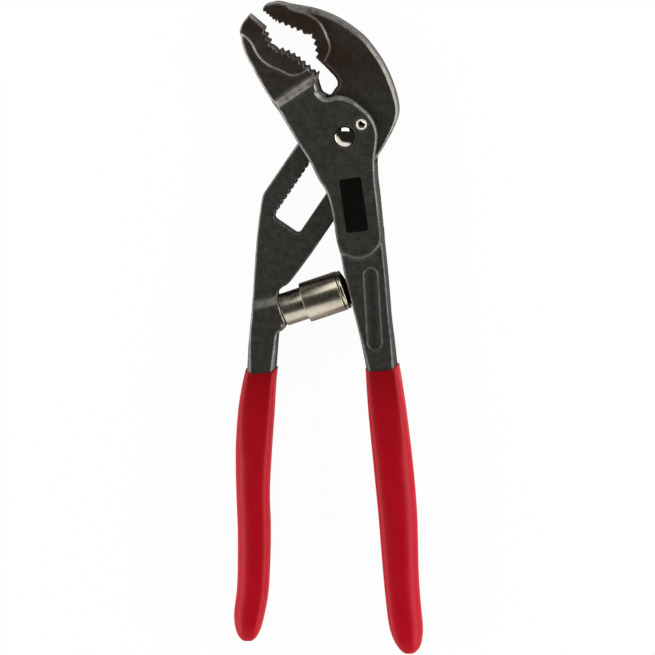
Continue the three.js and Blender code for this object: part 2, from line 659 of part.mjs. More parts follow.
// The block fills the slot round the bush. Its upper end is a finger beside the stop pin.
function lockingBlock() {
  const left = -SLOT_LEFT + CLEARANCE;
  const right = SLOT_RIGHT - CLEARANCE - LEAF_THICKNESS - CLEARANCE;
  const pinReach = Math.hypot(...STOP_PIN_AT);
  const shoulder = pinReach - STOP_PIN_RADIUS - 2 * CLEARANCE;
  const finger = -STOP_PIN_RADIUS - CLEARANCE;
  const blank = slab(polygon([
    inSlot(-BLOCK_LOWER_REACH, left), inSlot(-BLOCK_LOWER_REACH, right),
    inSlot(shoulder - BLOCK_SHOULDER_DROP, right), inSlot(shoulder, finger + BLOCK_FINGER_SLOPE),
    inSlot(BLOCK_UPPER_REACH, finger), inSlot(BLOCK_UPPER_REACH, left),
  ]), bladeLow, bladeHigh).intersect(throughCut(slotShape(CLEARANCE)));
  const teeth = Math.floor((BLOCK_LOWER_REACH + BLOCK_UPPER_REACH) / RACK_PITCH);
  const grooves = Array.from({ length: teeth }, (_, i) => {
    const centre = -BLOCK_LOWER_REACH + (i + 0.5) * RACK_PITCH;
    const half = RACK_PITCH * GROOVE_SHARE;
    return throughCut(polygon([
      inSlot(centre + half, left - CLEARANCE),
      inSlot(centre, left + BLOCK_TOOTH_DEPTH),
      inSlot(centre - half, left - CLEARANCE),
    ]));
  });
  return cutAll(blank, [throughCut(circle([0, 0], bushRadius + CLEARANCE)), ...grooves]);
}

function releaseLeaf() {
  const far = SLOT_RIGHT - CLEARANCE;
  const near = far - LEAF_THICKNESS;
  const end = -BLOCK_LOWER_REACH + LEAF_END_INSET;
  return slab(polygon([
    inSlot(end, near), inSlot(end, far), inSlot(end + LEAF_LENGTH, far), inSlot(end + LEAF_LENGTH, near),
  ]), mid - LEAF_HEIGHT / 2, mid + LEAF_HEIGHT / 2);
}

const namePlate = () => slab(
  turnedRectangle(PLATE_CENTRE, PLATE_WIDTH, PLATE_LENGTH, PLATE_LEAN),
  JOINT_THICKNESS - PLATE_DEPTH + CLEARANCE,
  JOINT_THICKNESS - CLEARANCE / 2,
);

// Strut pieces, from the back lever outwards.
const tubeBore = TUBE_RADIUS - TUBE_WALL;
const sleeveBore = TUBE_RADIUS + CLEARANCE;
const sleeveRadius = sleeveBore + SLEEVE_WALL;
const rodHeadRadius = tubeBore - ROD_HEAD_GAP;
const ringStart = SLEEVE_END + CLEARANCE;
const ringEnd = ringStart + RING_LENGTH;
const capStart = ringEnd + CLEARANCE;
const clipEnd = SLEEVE_END - SLEEVE_FLOOR - CLEARANCE;
const clipStart = clipEnd - CLIP_LENGTH;
const seatEnd = clipStart - CLEARANCE;
const seatStart = seatEnd - SEAT_LENGTH;
const rodHeadStart = TUBE_FLOOR + CLEARANCE;
const rodHeadEnd = rodHeadStart + ROD_HEAD_LENGTH;

function strutTube() {
  const tube = alongStrut(turned([
    [0, -SPIGOT_LENGTH], [SPIGOT_RADIUS, -SPIGOT_LENGTH], [SPIGOT_RADIUS, 0], [TUBE_RADIUS, 0],
    [TUBE_RADIUS, TUBE_LENGTH], [tubeBore, TUBE_LENGTH], [tubeBore, TUBE_FLOOR], [0, TUBE_FLOOR],
  ]));
  return tube.subtract(crossPinHole());
}

const strutPin = () => upright(
  rod(CROSS_PIN_RADIUS, mid - SHANK_THICKNESS / 2 + CROSS_PIN_INSET, crossPinTop - CLEARANCE),
  crossPinPlace(),
);

const strutRod = () => alongStrut(turned([
  [0, rodHeadStart], [rodHeadRadius, rodHeadStart], [rodHeadRadius, rodHeadEnd],
  [ROD_RADIUS, rodHeadEnd],
  [ROD_RADIUS, seatStart - STRUT_STROKE - CLEARANCE], [0, seatStart - STRUT_STROKE - CLEARANCE],
]));

// The spring is drawn at its squeezed length, so that it clears the seat over the whole stroke.
function strutSpring() {
  const start = rodHeadEnd + CLEARANCE + SPRING_WIRE;
  const end = seatStart - STRUT_STROKE - CLEARANCE - SPRING_WIRE;
  class Helix extends THREE.Curve {
    getPoint(share, target = new THREE.Vector3()) {
      const turn = share * SPRING_CURLS * 2 * Math.PI;
      return target.set(
        SPRING_RADIUS * Math.cos(turn), start + share * (end - start), SPRING_RADIUS * Math.sin(turn),
      );
    }
  }
  const gap = (end - start) / SPRING_CURLS - 2 * SPRING_WIRE;
  console.log(`least gap of the strut spring to itself: ${gap.toFixed(2)} mm`);
  const section = new THREE.Shape(Array.from({ length: SPRING_SIDES }, (_, i) => (
    new THREE.Vector2(SPRING_WIRE, 0).rotateAround(new THREE.Vector2(), i * 2 * Math.PI / SPRING_SIDES)
  )));
  return alongStrut(new THREE.ExtrudeGeometry(section, {
    steps: SPRING_STEPS * SPRING_CURLS, extrudePath: new Helix(), bevelEnabled: false,
  }));
}

const springSeat = () => alongStrut(rod(SEAT_RADIUS, seatStart, seatEnd));

const capClip = () => alongStrut(
  ring(CAP_STEM_RADIUS + CLEARANCE, CAP_STEM_RADIUS + CLEARANCE + CLIP_WALL, clipStart, clipEnd),
);

const strutSleeve = () => alongStrut(turned([
  [sleeveRadius, SLEEVE_START], [sleeveRadius, SLEEVE_END], [CAP_STEM_RADIUS + CLEARANCE, SLEEVE_END],
  [CAP_STEM_RADIUS + CLEARANCE, SLEEVE_END - SLEEVE_FLOOR], [sleeveBore, SLEEVE_END - SLEEVE_FLOOR],
  [sleeveBore, SLEEVE_START],
]));

const strutRing = () => alongStrut(
  ring(CAP_STEM_RADIUS + CLEARANCE, sleeveRadius - RING_INSET, ringStart, ringEnd),
);

const strutCap = () => alongStrut(turned([
  [0, clipStart], [CAP_STEM_RADIUS, clipStart], [CAP_STEM_RADIUS, capStart],
  ...dome(CAP_RADIUS, capStart, CAP_DOME),
]));

const pliers = new THREE.Group();
pliers.add(
  piece('front_lever', frontLever(), forged()),
  piece('front_grip', grip(FRONT_GRIP), redVinyl()),
  piece('pivot_bolt', pivotBolt(), polished()),
  piece('pivot_nut', pivotNut(), plainSteel()),
  piece('stop_pin', stopPin(), polished()),
  piece('name_plate', namePlate(), blackPlate()),
  piece('pivot_bush', pivotBush(), plainSteel()),
  piece('locking_block', lockingBlock(), plainSteel()),
  piece('release_leaf', releaseLeaf(), plainSteel()),
  piece('back_lever', backLever(), forged()),
  piece('back_grip', grip(BACK_GRIP), redVinyl()),
  piece('strut_tube', strutTube(), nickel()),
  piece('strut_pin', strutPin(), plainSteel()),
  piece('strut_rod', strutRod(), plainSteel()),
  piece('strut_spring', strutSpring(), plainSteel()),
  piece('spring_seat', springSeat(), plainSteel()),
  piece('cap_clip', capClip(), plainSteel()),
  piece('strut_sleeve', strutSleeve(), nickel()),
  piece('strut_ring', strutRing(), nickel()),
  piece('strut_cap', strutCap(), blackPlastic()),
);

export default pliers;
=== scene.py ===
import bmesh
import bpy
import numpy as np
from mathutils import Matrix, Vector


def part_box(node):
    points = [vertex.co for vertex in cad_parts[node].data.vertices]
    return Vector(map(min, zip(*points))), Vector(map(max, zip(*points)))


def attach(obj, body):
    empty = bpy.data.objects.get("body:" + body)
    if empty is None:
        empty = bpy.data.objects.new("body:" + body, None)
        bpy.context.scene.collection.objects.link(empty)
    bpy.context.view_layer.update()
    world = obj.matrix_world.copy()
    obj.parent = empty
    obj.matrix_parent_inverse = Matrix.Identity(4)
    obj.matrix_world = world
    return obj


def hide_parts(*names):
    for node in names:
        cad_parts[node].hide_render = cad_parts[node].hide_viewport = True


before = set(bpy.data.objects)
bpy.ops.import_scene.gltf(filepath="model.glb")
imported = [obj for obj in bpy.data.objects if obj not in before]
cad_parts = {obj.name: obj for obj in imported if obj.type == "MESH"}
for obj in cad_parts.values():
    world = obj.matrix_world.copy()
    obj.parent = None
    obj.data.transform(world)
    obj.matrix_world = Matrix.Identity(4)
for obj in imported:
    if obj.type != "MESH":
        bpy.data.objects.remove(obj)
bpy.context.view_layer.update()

# Studio.
# A pale floor under the tool, a light tent that is bright at its sides and dark overhead,
# and a long lens above the tool, a little towards its jaws and its right side.
MM = 0.001
PHOTO_SIDE = 655
PIVOT_PIXEL = (344.8, 137.2)
MM_PER_PIXEL = (0.3795, 0.3834)
CAMERA_LEAN = (0.09, 0.145)
CAMERA_DISTANCE = 4.0
CAMERA_NEAR = 0.01
SENSOR = 36.0
FACE_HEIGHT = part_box("front_lever")[1][2]


def link(name, data):
    """A new object in the scene, at the origin."""
    made = bpy.data.objects.new(name, data)
    bpy.context.scene.collection.objects.link(made)
    return made


scene = bpy.context.scene
scene.view_settings.view_transform = "Standard"
aim = Vector((
    (PHOTO_SIDE / 2 - PIVOT_PIXEL[0]) * MM_PER_PIXEL[0] * MM,
    (PIVOT_PIXEL[1] - PHOTO_SIDE / 2) * MM_PER_PIXEL[1] * MM,
    FACE_HEIGHT,
))
look = Vector((*CAMERA_LEAN, 1)).normalized()
across = Vector((0, 1, 0)).cross(look).normalized()
camera = link("camera", bpy.data.cameras.new("camera"))
camera.matrix_world = Matrix.Translation(aim + look * CAMERA_DISTANCE) @ Matrix(
    (across, look.cross(across), look)).transposed().to_4x4()
camera.data.sensor_width = SENSOR
camera.data.lens = SENSOR * CAMERA_DISTANCE / (PHOTO_SIDE * MM_PER_PIXEL[0] * MM)
camera.data.clip_start = CAMERA_NEAR
scene.camera = camera

FLOOR_SIZE = 6.0
FLOOR_HEIGHT = -0.0002
FLOOR_GLOW = 0.96
WHITE = (1, 1, 1, 1)
PAPER = (0.9, 0.9, 0.9, 1)
TENT_DIM = 0.03
TENT_BRIGHT = 1.5
TENT_OVERHEAD = (0.90, 0.76)
TENT_FRONT_WAY = (-0.50, -0.87, 0.0)
TENT_FRONT = (0.28, 0.60)
MIX_SOCKETS = {"RGBA": (0, 6, 7, 2), "FLOAT": (0, 2, 3, 0)}


def add_node(tree, kind, **settings):
    """A shader node with its settings, and its inputs where the setting's name is an input's."""
    node = tree.nodes.new(kind)
    for key, value in settings.items():
        if key in node.inputs:
            node.inputs[key].default_value = value
        else:
            setattr(node, key, value)
    return node


def feed(tree, source, socket):
    """Gives an input another node's output, or a plain value."""
    if isinstance(source, bpy.types.NodeSocket):
        tree.links.new(source, socket)
    else:
        socket.default_value = source


def combined(tree, operation, *sources):
    """One or two values put through an operation."""
    node = add_node(tree, "ShaderNodeMath", operation=operation)
    for source, socket in zip(sources, node.inputs):
        feed(tree, source, socket)
    return node.outputs[0]


def ranged(tree, source, start, end, low=0.0, high=1.0, kind="LINEAR"):
    """A value moved from one range to another, and held at both ends."""
    node = add_node(tree, "ShaderNodeMapRange", interpolation_type=kind)
    for value, label in (
            (source, "Value"), (start, "From Min"), (end, "From Max"), (low, "To Min"), (high, "To Max")):
        feed(tree, value, node.inputs[label])
    return node.outputs[0]


def mixed(tree, share, first, second, kind="RGBA"):
    """Two colours, or two values, mixed by a share."""
    node = add_node(tree, "ShaderNodeMix", data_type=kind)
    *sockets, result = MIX_SOCKETS[kind]
    for source, socket in zip((share, first, second), sockets):
        feed(tree, source, node.inputs[socket])
    return node.outputs[result]


def background_rays(tree):
    """One for a camera ray, or one through a clear surface, and nought for the light's own rays."""
    path = add_node(tree, "ShaderNodeLightPath")
    return combined(tree, "MAXIMUM", path.outputs["Is Camera Ray"], path.outputs["Is Transmission Ray"])


world = bpy.data.worlds.new("light tent")
world.use_nodes = True
scene.world = world
tree = world.node_tree
tree.nodes.clear()
way = add_node(tree, "ShaderNodeTexCoord").outputs["Generated"]
parts = add_node(tree, "ShaderNodeSeparateXYZ")
feed(tree, way, parts.inputs[0])
forward = add_node(tree, "ShaderNodeVectorMath", operation="DOT_PRODUCT")
feed(tree, way, forward.inputs[0])
feed(tree, TENT_FRONT_WAY, forward.inputs[1])
low_down = ranged(tree, parts.outputs["Z"], *TENT_OVERHEAD, kind="SMOOTHSTEP")
frontal = ranged(tree, forward.outputs["Value"], *TENT_FRONT, kind="SMOOTHSTEP")
level = ranged(tree, combined(tree, "MULTIPLY", low_down, frontal), 0.0, 1.0, TENT_DIM, TENT_BRIGHT)
glow = add_node(tree, "ShaderNodeBackground")
sky = add_node(tree, "ShaderNodeOutputWorld")
feed(tree, mixed(tree, background_rays(tree), level, WHITE), glow.inputs["Color"])
feed(tree, glow.outputs[0], sky.inputs["Surface"])

half = FLOOR_SIZE / 2
floor_mesh = bpy.data.meshes.new("floor")
floor_mesh.from_pydata(
    [(x * half, y * half, FLOOR_HEIGHT) for x, y in ((-1, -1), (1, -1), (1, 1), (-1, 1))], [], [(0, 1, 2, 3)])
floor = link("floor", floor_mesh)
paper = bpy.data.materials.new("white paper")
paper.use_nodes = True
tree = paper.node_tree
tree.nodes.clear()
matt = add_node(tree, "ShaderNodeBsdfDiffuse", Color=PAPER)
shine = add_node(tree, "ShaderNodeEmission", Color=WHITE)
blend = add_node(tree, "ShaderNodeMixShader")
out = add_node(tree, "ShaderNodeOutputMaterial")
shining = combined(tree, "MULTIPLY", background_rays(tree), FLOOR_GLOW)
for source, socket in zip((shining, matt.outputs[0], shine.outputs[0]), blend.inputs):
    feed(tree, source, socket)
feed(tree, blend.outputs[0], out.inputs["Surface"])
floor_mesh.materials.append(paper)


def soft_box(name, place, size, power):
    """A rectangular lamp at a place, turned to face the tool's middle."""
    lamp = bpy.data.lights.new(name, "AREA")
    lamp.shape = "RECTANGLE"
    lamp.size, lamp.size_y = size
    lamp.energy = power
    box = link(name, lamp)
    box.location = place
    box.rotation_euler = (aim - Vector(place)).to_track_quat("-Z", "Y").to_euler()


soft_box("right_box", place=(1.0, -0.10, 0.30), size=(1.7, 0.50), power=19.5)
soft_box("left_box", place=(-1.0, -0.05, 0.30), size=(1.6, 0.50), power=12.0)
soft_box("jaw_box", place=(-0.02, 0.63, 0.64), size=(0.7, 0.58), power=3.2)

# Front lever.
# Drop-forged steel with a dark phosphate finish: lower jaw, two joint cheeks, shank and tang in one piece.
# Its teeth are cut and its bolt and pin seats are machined after forging; the edges are worn bright, with
# painted highlight on the bevels that lean up.
GRID_STEP = 0.37
FAR = 1e9
SAME_POINT = 1e-6
WELD_DISTANCE = 1e-7
PATH_STEPS = 24
MIDDLE = 7.75
JOINT_HALF = 7.75
BLADE_HALF = 4.0
PAD_HALF = 5.0
SHANK_HALF = 6.5
CLEARANCE = 0.3
CHEEK_BEVEL = ((-42, -25, 5, 13, 17), (0.3, 0.8, 0.9, 1.3, 1.8))
BLADE_BEVEL = ((-10, 20), (0.5, 1.5))
JAW_BEVEL = 0.8
PAD_BEVEL = 0.4
SHANK_BEVEL = ((-90, -75), (1.5, 0.6))
EDGE_SOFTNESS = 0.3
FILLET = 1.0
STEP_FILLET = 0.5
SLOPE_SINK = 0.1
SLOPE_ROUNDING = 0.8
SLOPE_FILLET = 1.2
SEAT_EDGE = 0.2
TOOTH_PITCH = 2.5
TOOTH_DEPTH = 1.35
TOOTH_EDGE = 0.15
TOOTH_OVERCUT = 2
GRIP_ENTRY = 5.0
TANG_MARGIN = 3
SHANK_INSET = 0.7
WEAR_SPREADS = (2, 16)
PROUD_UNIT = GRID_STEP / 10
UPRIGHT_SIDE = 0.5
# Shares of bare colour, as wear and painted highlight: on bevels that lean up, less on sharp edges.
LEANING_WEAR_AND_HIGHLIGHT = ((0.06, 0.28), (0.0, 0.55))
SHARP_WEAR_AND_HIGHLIGHT = ((0.45, 0.90), (1.0, 0.15))
# Shares of painted shade: in hollow corners, and on sides that face across the tool.
CORNER_SHADE = ((0.06, 0.34), (0.0, 0.7))
FLANK_SHADE = ((0.60, 0.92), (0.0, 0.9))
# Bare colour by height on the front forging, as wear and painted highlight: most at the neck.
FRONT_WEAR_AND_HIGHLIGHT = ((-86, -66, -30, 5, 14), (0.3, 0.6, 0.8, 1.2, 1.7))
# How much painted shade the front forging gets.
FRONT_SHADE = 1.0
# Bare colour on the jaws' biting sides, as wear and painted light where they lie in shade.
BITING_WEAR_AND_LIGHT = ((0.15, 0.45), (0.0, 1.0))
JAW_START = ((23.0, 26.0), (0.0, 1.0))
FRONT_BITE_WEAR_AND_LIGHT = 0.30


def smooth_run(points, steps=8):
    """A curve through points: each stretch is a cubic whose end slopes are half its neighbours' chord."""
    points = np.asarray(points, float)
    if len(points) < 3:
        return points
    padded = np.vstack([points[:1], points, points[-1:]])
    before, start, end, after = padded[:-3], padded[1:-2], padded[2:-1], padded[3:]
    leave, arrive = (end - before) / 2, (after - start) / 2
    part = (np.arange(steps) / steps)[:, None, None]
    curve = ((2 * start - 2 * end + leave + arrive) * part ** 3
             + (3 * end - 3 * start - 2 * leave - arrive) * part ** 2 + leave * part + start)
    return np.vstack([curve.transpose(1, 0, 2).reshape(-1, points.shape[1]), points[-1:]])


def outline(*runs):
    """A closed outline of smooth runs, without the points that two runs share."""
    loop = np.vstack([smooth_run(run) for run in runs])
    apart = np.linalg.norm(loop - np.roll(loop, 1, axis=0), axis=1) > SAME_POINT
    return loop[apart]


class ForgingGrid:
    """A box of evenly spaced points round a forging, on which distances to its surfaces are worked out."""

    def __init__(self, low, high):
        low, high = np.asarray(low) - 2 * GRID_STEP, np.asarray(high) + 2 * GRID_STEP
        self.low = low
        lines = [np.arange(a, b, GRID_STEP, dtype=np.float32) for a, b in zip(low, high)]
        self.x, self.y = lines[0][:, None], lines[1][None, :]
        self.z = lines[2][None, None, :]
        self.depth = np.abs(self.z - MIDDLE)

    def edge(self, loop):
        """Distance to an outline: the least to any of its edges, negative where it lies inside."""
        least = np.full((self.x.size, self.y.size), FAR, np.float32)
        inside = np.zeros(least.shape, bool)
        for (ax, ay), (bx, by) in zip(loop, np.roll(loop, -1, axis=0)):
            run, rise = bx - ax, by - ay
            part = np.clip(((self.x - ax) * run + (self.y - ay) * rise) / (run ** 2 + rise ** 2), 0, 1)
            least = np.minimum(least, (self.x - ax - part * run) ** 2 + (self.y - ay - part * rise) ** 2)
            if rise:
                inside ^= ((ay > self.y) != (by > self.y)) & (self.x < ax + (self.y - ay) * run / rise)
        return (np.where(inside, -1, 1) * np.sqrt(least))[:, :, None]

    def plate(self, edge, half, bevel):
        """A flat plate: the greatest of its edge, its faces and the bevel between them.

        The bevel is one width, or widths at a list of heights.
        """
        face = self.depth - half
        if np.ndim(bevel):
            bevel = np.interp(self.y, *bevel).astype(np.float32)[:, :, None]
        return meet(meet(edge, face), (edge + face + bevel) * np.sqrt(0.5))

    def disc(self, centre, radius):
        """Distance to an upright cylinder."""
        return (np.hypot(self.x - centre[0], self.y - centre[1]) - radius)[:, :, None]

    def pocket(self, edge, floor, top=True):
        """A pocket with upright walls, sunk from the upper or the lower face to a floor."""
        return np.maximum(edge, floor - self.z if top else self.z - floor)


def meet(a, b, softness=EDGE_SOFTNESS):
    """What two solids share: the greater distance, rounded where the two are nearly the same."""
    near = np.maximum(softness - np.abs(a - b), 0)
    return np.maximum(a, b) + near ** 2 / (4 * softness)


def join(a, b, softness=FILLET):
    """Two solids as one, with a fillet in the corner between them."""
    return -meet(-a, -b, softness)


def cut(body, tool, softness=EDGE_SOFTNESS):
    """A solid with another taken out of it, its new edges rounded."""
    return meet(body, -tool, softness)


def along_path(path, spacing):
    """Points at even spacing along a path, with the way that lies to the right of it at each."""
    curve = smooth_run(path, PATH_STEPS)
    lengths = np.concatenate([[0], np.cumsum(np.linalg.norm(np.diff(curve, axis=0), axis=1))])
    count = int(lengths[-1] / spacing * 2)
    start = (lengths[-1] - count * spacing / 2) / 2
    places = start + np.arange(count + 1) * spacing / 2
    points = np.column_stack([np.interp(places, lengths, curve[:, k]) for k in (0, 1)])
    ways = np.gradient(points, axis=0)
    ways /= np.linalg.norm(ways, axis=1, keepdims=True)
    return points, np.column_stack([ways[:, 1], -ways[:, 0]])


def tooth_gaps(path, pitch, depth):
    """What is cut away between teeth: a zigzag along the path, closed by a line outside the metal."""
    points, inward = along_path(path, pitch)
    zigzag = points + inward * (depth * (np.arange(len(points)) % 2))[:, None]
    return np.vstack([zigzag, (points - TOOTH_OVERCUT * inward)[::-1]])


def skin(field, low):
    """The surface where a distance is nought, as one point in each grid cell that it crosses.

    A cell's point is the mean of the crossings on its edges, and each crossed grid edge gives the
    four-sided face between the four cells round it.
    """
    cells_each_way = np.array(field.shape) - 1
    crossings, corners = [], []
    for axis in range(3):
        first, second = np.roll(np.eye(3, dtype=int), -axis - 1, axis=0)[:2]
        ahead = np.moveaxis(field, axis, 0)
        near, far = np.moveaxis(ahead[:-1], 0, axis), np.moveaxis(ahead[1:], 0, axis)
        edges = np.argwhere((near < 0) != (far < 0))
        here, there = near[tuple(edges.T)], far[tuple(edges.T)]
        point = edges.astype(float)
        point[:, axis] += here / (here - there)
        round_edge = [edges, edges - first, edges - first - second, edges - second]
        order = np.where((here < 0)[:, None], [0, 1, 2, 3], [3, 2, 1, 0])
        cells = np.stack([np.ravel_multi_index(c.T, cells_each_way) for c in round_edge], 1)
        corners.append(np.take_along_axis(cells, order, 1))
        crossings.append(point)
    corners, crossings = np.vstack(corners), np.repeat(np.vstack(crossings), 4, axis=0)
    faces = np.unique(corners, return_inverse=True)[1].reshape(corners.shape)
    count = np.bincount(faces.ravel())
    points = np.column_stack([np.bincount(faces.ravel(), crossings[:, k]) / count for k in range(3)])
    return low + points * GRID_STEP, faces


def wear_highlight_and_shade_marks(points, faces, wear_and_highlight_heights, shade_strength, bite_wear_and_light, no_bare_round):
    """Where a forging has bare wear and painted highlight, and where painted shade, from the lie of its surface
    at each point.

    Bevels that lean up get wear and painted highlight, but not sharp edges, which stand far proud of their
    neighbours' mean.
    The jaw's biting sides get it too, as wear and painted light on sides in shade, and a round place gets none.
    Sides that face across the tool get painted shade, and so do corners that lie lower than their neighbours'
    mean.
    """
    starts, ends = faces.ravel(), np.roll(faces, -1, axis=1).ravel()
    count = np.bincount(starts)
    ones = np.cross(points[faces[:, 2]] - points[faces[:, 0]], points[faces[:, 3]] - points[faces[:, 1]])
    normals = np.column_stack([np.bincount(starts, np.repeat(ones[:, k], 4)) for k in range(3)])
    normals /= np.linalg.norm(normals, axis=1, keepdims=True)
    mean = np.column_stack([np.bincount(starts, points[ends, k]) / count for k in range(3)])
    proud = np.einsum("ij,ij->i", points - mean, normals) / PROUD_UNIT
    spread = {}
    for turn in range(WEAR_SPREADS[1] + 1):
        spread[turn] = proud
        proud = (proud + np.bincount(starts, proud[ends]) / count) / 2
    narrow, wide = (spread[turn] for turn in WEAR_SPREADS)
    upright = 1 - np.abs(normals[:, 2])
    # Bare colour as wear and painted highlight, only on bevels that face up.
    wear_and_highlight = np.interp(upright, *LEANING_WEAR_AND_HIGHLIGHT) * np.interp(narrow, *SHARP_WEAR_AND_HIGHLIGHT) * (normals[:, 2] > 0)
    wear_and_highlight = wear_and_highlight * np.interp(points[:, 1], *wear_and_highlight_heights)
    # Bare colour on the biting sides, as wear and painted light in their shade.
    biting_wear_and_light = np.interp(normals[:, 1], *BITING_WEAR_AND_LIGHT) * np.interp(points[:, 1], *JAW_START)
    wear_and_highlight = np.maximum(wear_and_highlight, bite_wear_and_light * biting_wear_and_light * (upright > UPRIGHT_SIDE))
    # Within a round place no bare colour is painted.
    if no_bare_round:
        centre, fade = no_bare_round
        away = np.hypot(points[:, 0] - centre[0], points[:, 1] - centre[1])
        wear_and_highlight = wear_and_highlight * np.interp(away, fade, (0, 1))
    # Painted shade in hollow corners and on sides facing across the tool.
    painted_shade = np.maximum(np.interp(-wide, *CORNER_SHADE), np.interp(np.abs(normals[:, 0]), *FLANK_SHADE))
    return {"wear_and_highlight": wear_and_highlight, "painted_shade": shade_strength * painted_shade}


def effect_group(name, inputs, outputs):
    """An empty shader group with named sockets, and its input and output nodes."""
    group = bpy.data.node_groups.new(name, "ShaderNodeTree")
    for label, kind in inputs:
        group.interface.new_socket(name=label, in_out="INPUT", socket_type=kind)
    for label, kind in outputs:
        group.interface.new_socket(name=label, in_out="OUTPUT", socket_type=kind)
    return group, group.nodes.new("NodeGroupInput"), group.nodes.new("NodeGroupOutput")


COLOUR, VALUE = "NodeSocketColor", "NodeSocketFloat"
FINER_TIMES = 5.0
BROAD_NOISE = (4.0, 0.6)
FINE_NOISE = (3.0, 0.55)
PLAIN_NOISE = (3.0, 0.5)
NOISE_SPREAD = (0.34, 0.66)
PATCH_SCALE, CLOUD_SCALE = 420.0, 58.0
PATCHES = (0.30, 0.60, 0.3, 1.0)
CLOUDS = (0.40, 0.64, 0.4, 1.0)
JAW_BROWN = (0.012, 0.030, 0.0, 1.0)
# Painted shade is full below the throat and fades almost away on the jaws; where painted it is dull and not
# metallic.
THROAT_SHADE = (0.020, 0.028, 1.0, 0.05)
SHADE_ROUGHNESS = 0.95
SHADE_METALLIC = 0.0
RELIEF = 0.0002


def own_parts(tree, kind="Object"):
    """The three parts of a point's place, or of its normal, in the piece's own space."""
    parts = add_node(tree, "ShaderNodeSeparateXYZ")
    feed(tree, add_node(tree, "ShaderNodeTexCoord").outputs[kind], parts.inputs[0])
    return parts.outputs


def noise(tree, scale, detail, roughness):
    """Noise in the piece's own space."""
    node = add_node(tree, "ShaderNodeTexNoise", Detail=detail, Roughness=roughness)
    feed(tree, add_node(tree, "ShaderNodeTexCoord").outputs["Object"], node.inputs["Vector"])
    feed(tree, scale, node.inputs["Scale"])
    return node.outputs["Fac"]


# Fine mottling: the mean of two noises at different scales mixes two colours and two roughnesses.
mottle, given, made = effect_group(
    "mottle",
    [("Scale", VALUE), ("Dark", COLOUR), ("Light", COLOUR), ("Smooth", VALUE), ("Rough", VALUE)],
    [("Colour", COLOUR), ("Roughness", VALUE), ("Height", VALUE)])
finer = combined(mottle, "MULTIPLY", given.outputs["Scale"], FINER_TIMES)
broad = noise(mottle, given.outputs["Scale"], *BROAD_NOISE)
level = mixed(mottle, 0.5, broad, noise(mottle, finer, *FINE_NOISE), "FLOAT")
spread = ranged(mottle, level, *NOISE_SPREAD)
tone = mixed(mottle, spread, given.outputs["Dark"], given.outputs["Light"])
gloss = mixed(mottle, spread, given.outputs["Smooth"], given.outputs["Rough"], "FLOAT")
for source, label in ((tone, "Colour"), (gloss, "Roughness"), (level, "Height")):
    feed(mottle, source, made.inputs[label])

# Bare metal in patches where worn and painted with highlight; black and dull where painted with shade.
# A broad noise browns the metal towards the jaws.
worn_lit_and_shaded, given, made = effect_group(
    "worn, lit and shaded forging",
    [("Colour", COLOUR), ("Roughness", VALUE), ("Metallic", VALUE), ("Bare", COLOUR), ("Sooty", COLOUR),
     ("Brown", COLOUR)],
    [("Colour", COLOUR), ("Roughness", VALUE), ("Metallic", VALUE)])
wear_and_highlight, painted_shade = (
    add_node(worn_lit_and_shaded, "ShaderNodeAttribute", attribute_name=label).outputs["Fac"]
    for label in ("wear_and_highlight", "painted_shade"))
height = own_parts(worn_lit_and_shaded)["Y"]
clouds, patches = (
    ranged(worn_lit_and_shaded, noise(worn_lit_and_shaded, scale, *PLAIN_NOISE), *spread)
    for scale, spread in ((CLOUD_SCALE, CLOUDS), (PATCH_SCALE, PATCHES)))
browned, wear_and_highlight_share, shade_share = (combined(worn_lit_and_shaded, "MULTIPLY", *shares) for shares in (
    (ranged(worn_lit_and_shaded, height, *JAW_BROWN), clouds), (wear_and_highlight, patches),
    (painted_shade, ranged(worn_lit_and_shaded, height, *THROAT_SHADE))))
colour = given.outputs["Colour"]
for share, label in ((browned, "Brown"), (wear_and_highlight_share, "Bare"), (shade_share, "Sooty")):
    colour = mixed(worn_lit_and_shaded, share, colour, given.outputs[label])
feed(worn_lit_and_shaded, colour, made.inputs["Colour"])
for label, end in (("Roughness", SHADE_ROUGHNESS), ("Metallic", SHADE_METALLIC)):
    feed(worn_lit_and_shaded, mixed(worn_lit_and_shaded, shade_share, given.outputs[label], end, "FLOAT"), made.inputs[label])


def place_group(tree, group, **values):
    """A shader group placed in a material, with its own values."""
    node = add_node(tree, "ShaderNodeGroup", node_tree=group)
    for label, value in values.items():
        feed(tree, value, node.inputs[label])
    return node.outputs


def mottled_finish(name, scale, dark, light, smooth, rough, bump, metallic, forging=None, sheen=0.5):
    """A material of mottled colour, roughness and relief, and a forging's wear and painted highlight, painted
    shade and brown if its colours are given.
    """
    material = bpy.data.materials.new(name)
    material.use_nodes = True
    tree = material.node_tree
    shader = tree.nodes["Principled BSDF"]
    grain = place_group(
        tree, mottle, Scale=scale, Dark=(*dark, 1), Light=(*light, 1), Smooth=smooth, Rough=rough)
    look = grain
    if forging:
        bare_and_highlight, painted_shade, brown = forging
        look = place_group(
            tree, worn_lit_and_shaded, Colour=grain["Colour"], Roughness=grain["Roughness"], Metallic=metallic,
            Bare=(*bare_and_highlight, 1), Sooty=(*painted_shade, 1), Brown=(*brown, 1))
        metallic = look["Metallic"]
    relief = add_node(tree, "ShaderNodeBump", Strength=bump, Distance=RELIEF)
    feed(tree, grain["Height"], relief.inputs["Height"])
    for source, label in (
            (look["Colour"], "Base Color"), (look["Roughness"], "Roughness"), (metallic, "Metallic"),
            (sheen, "Specular IOR Level"), (relief.outputs["Normal"], "Normal")):
        feed(tree, source, shader.inputs[label])
    return material


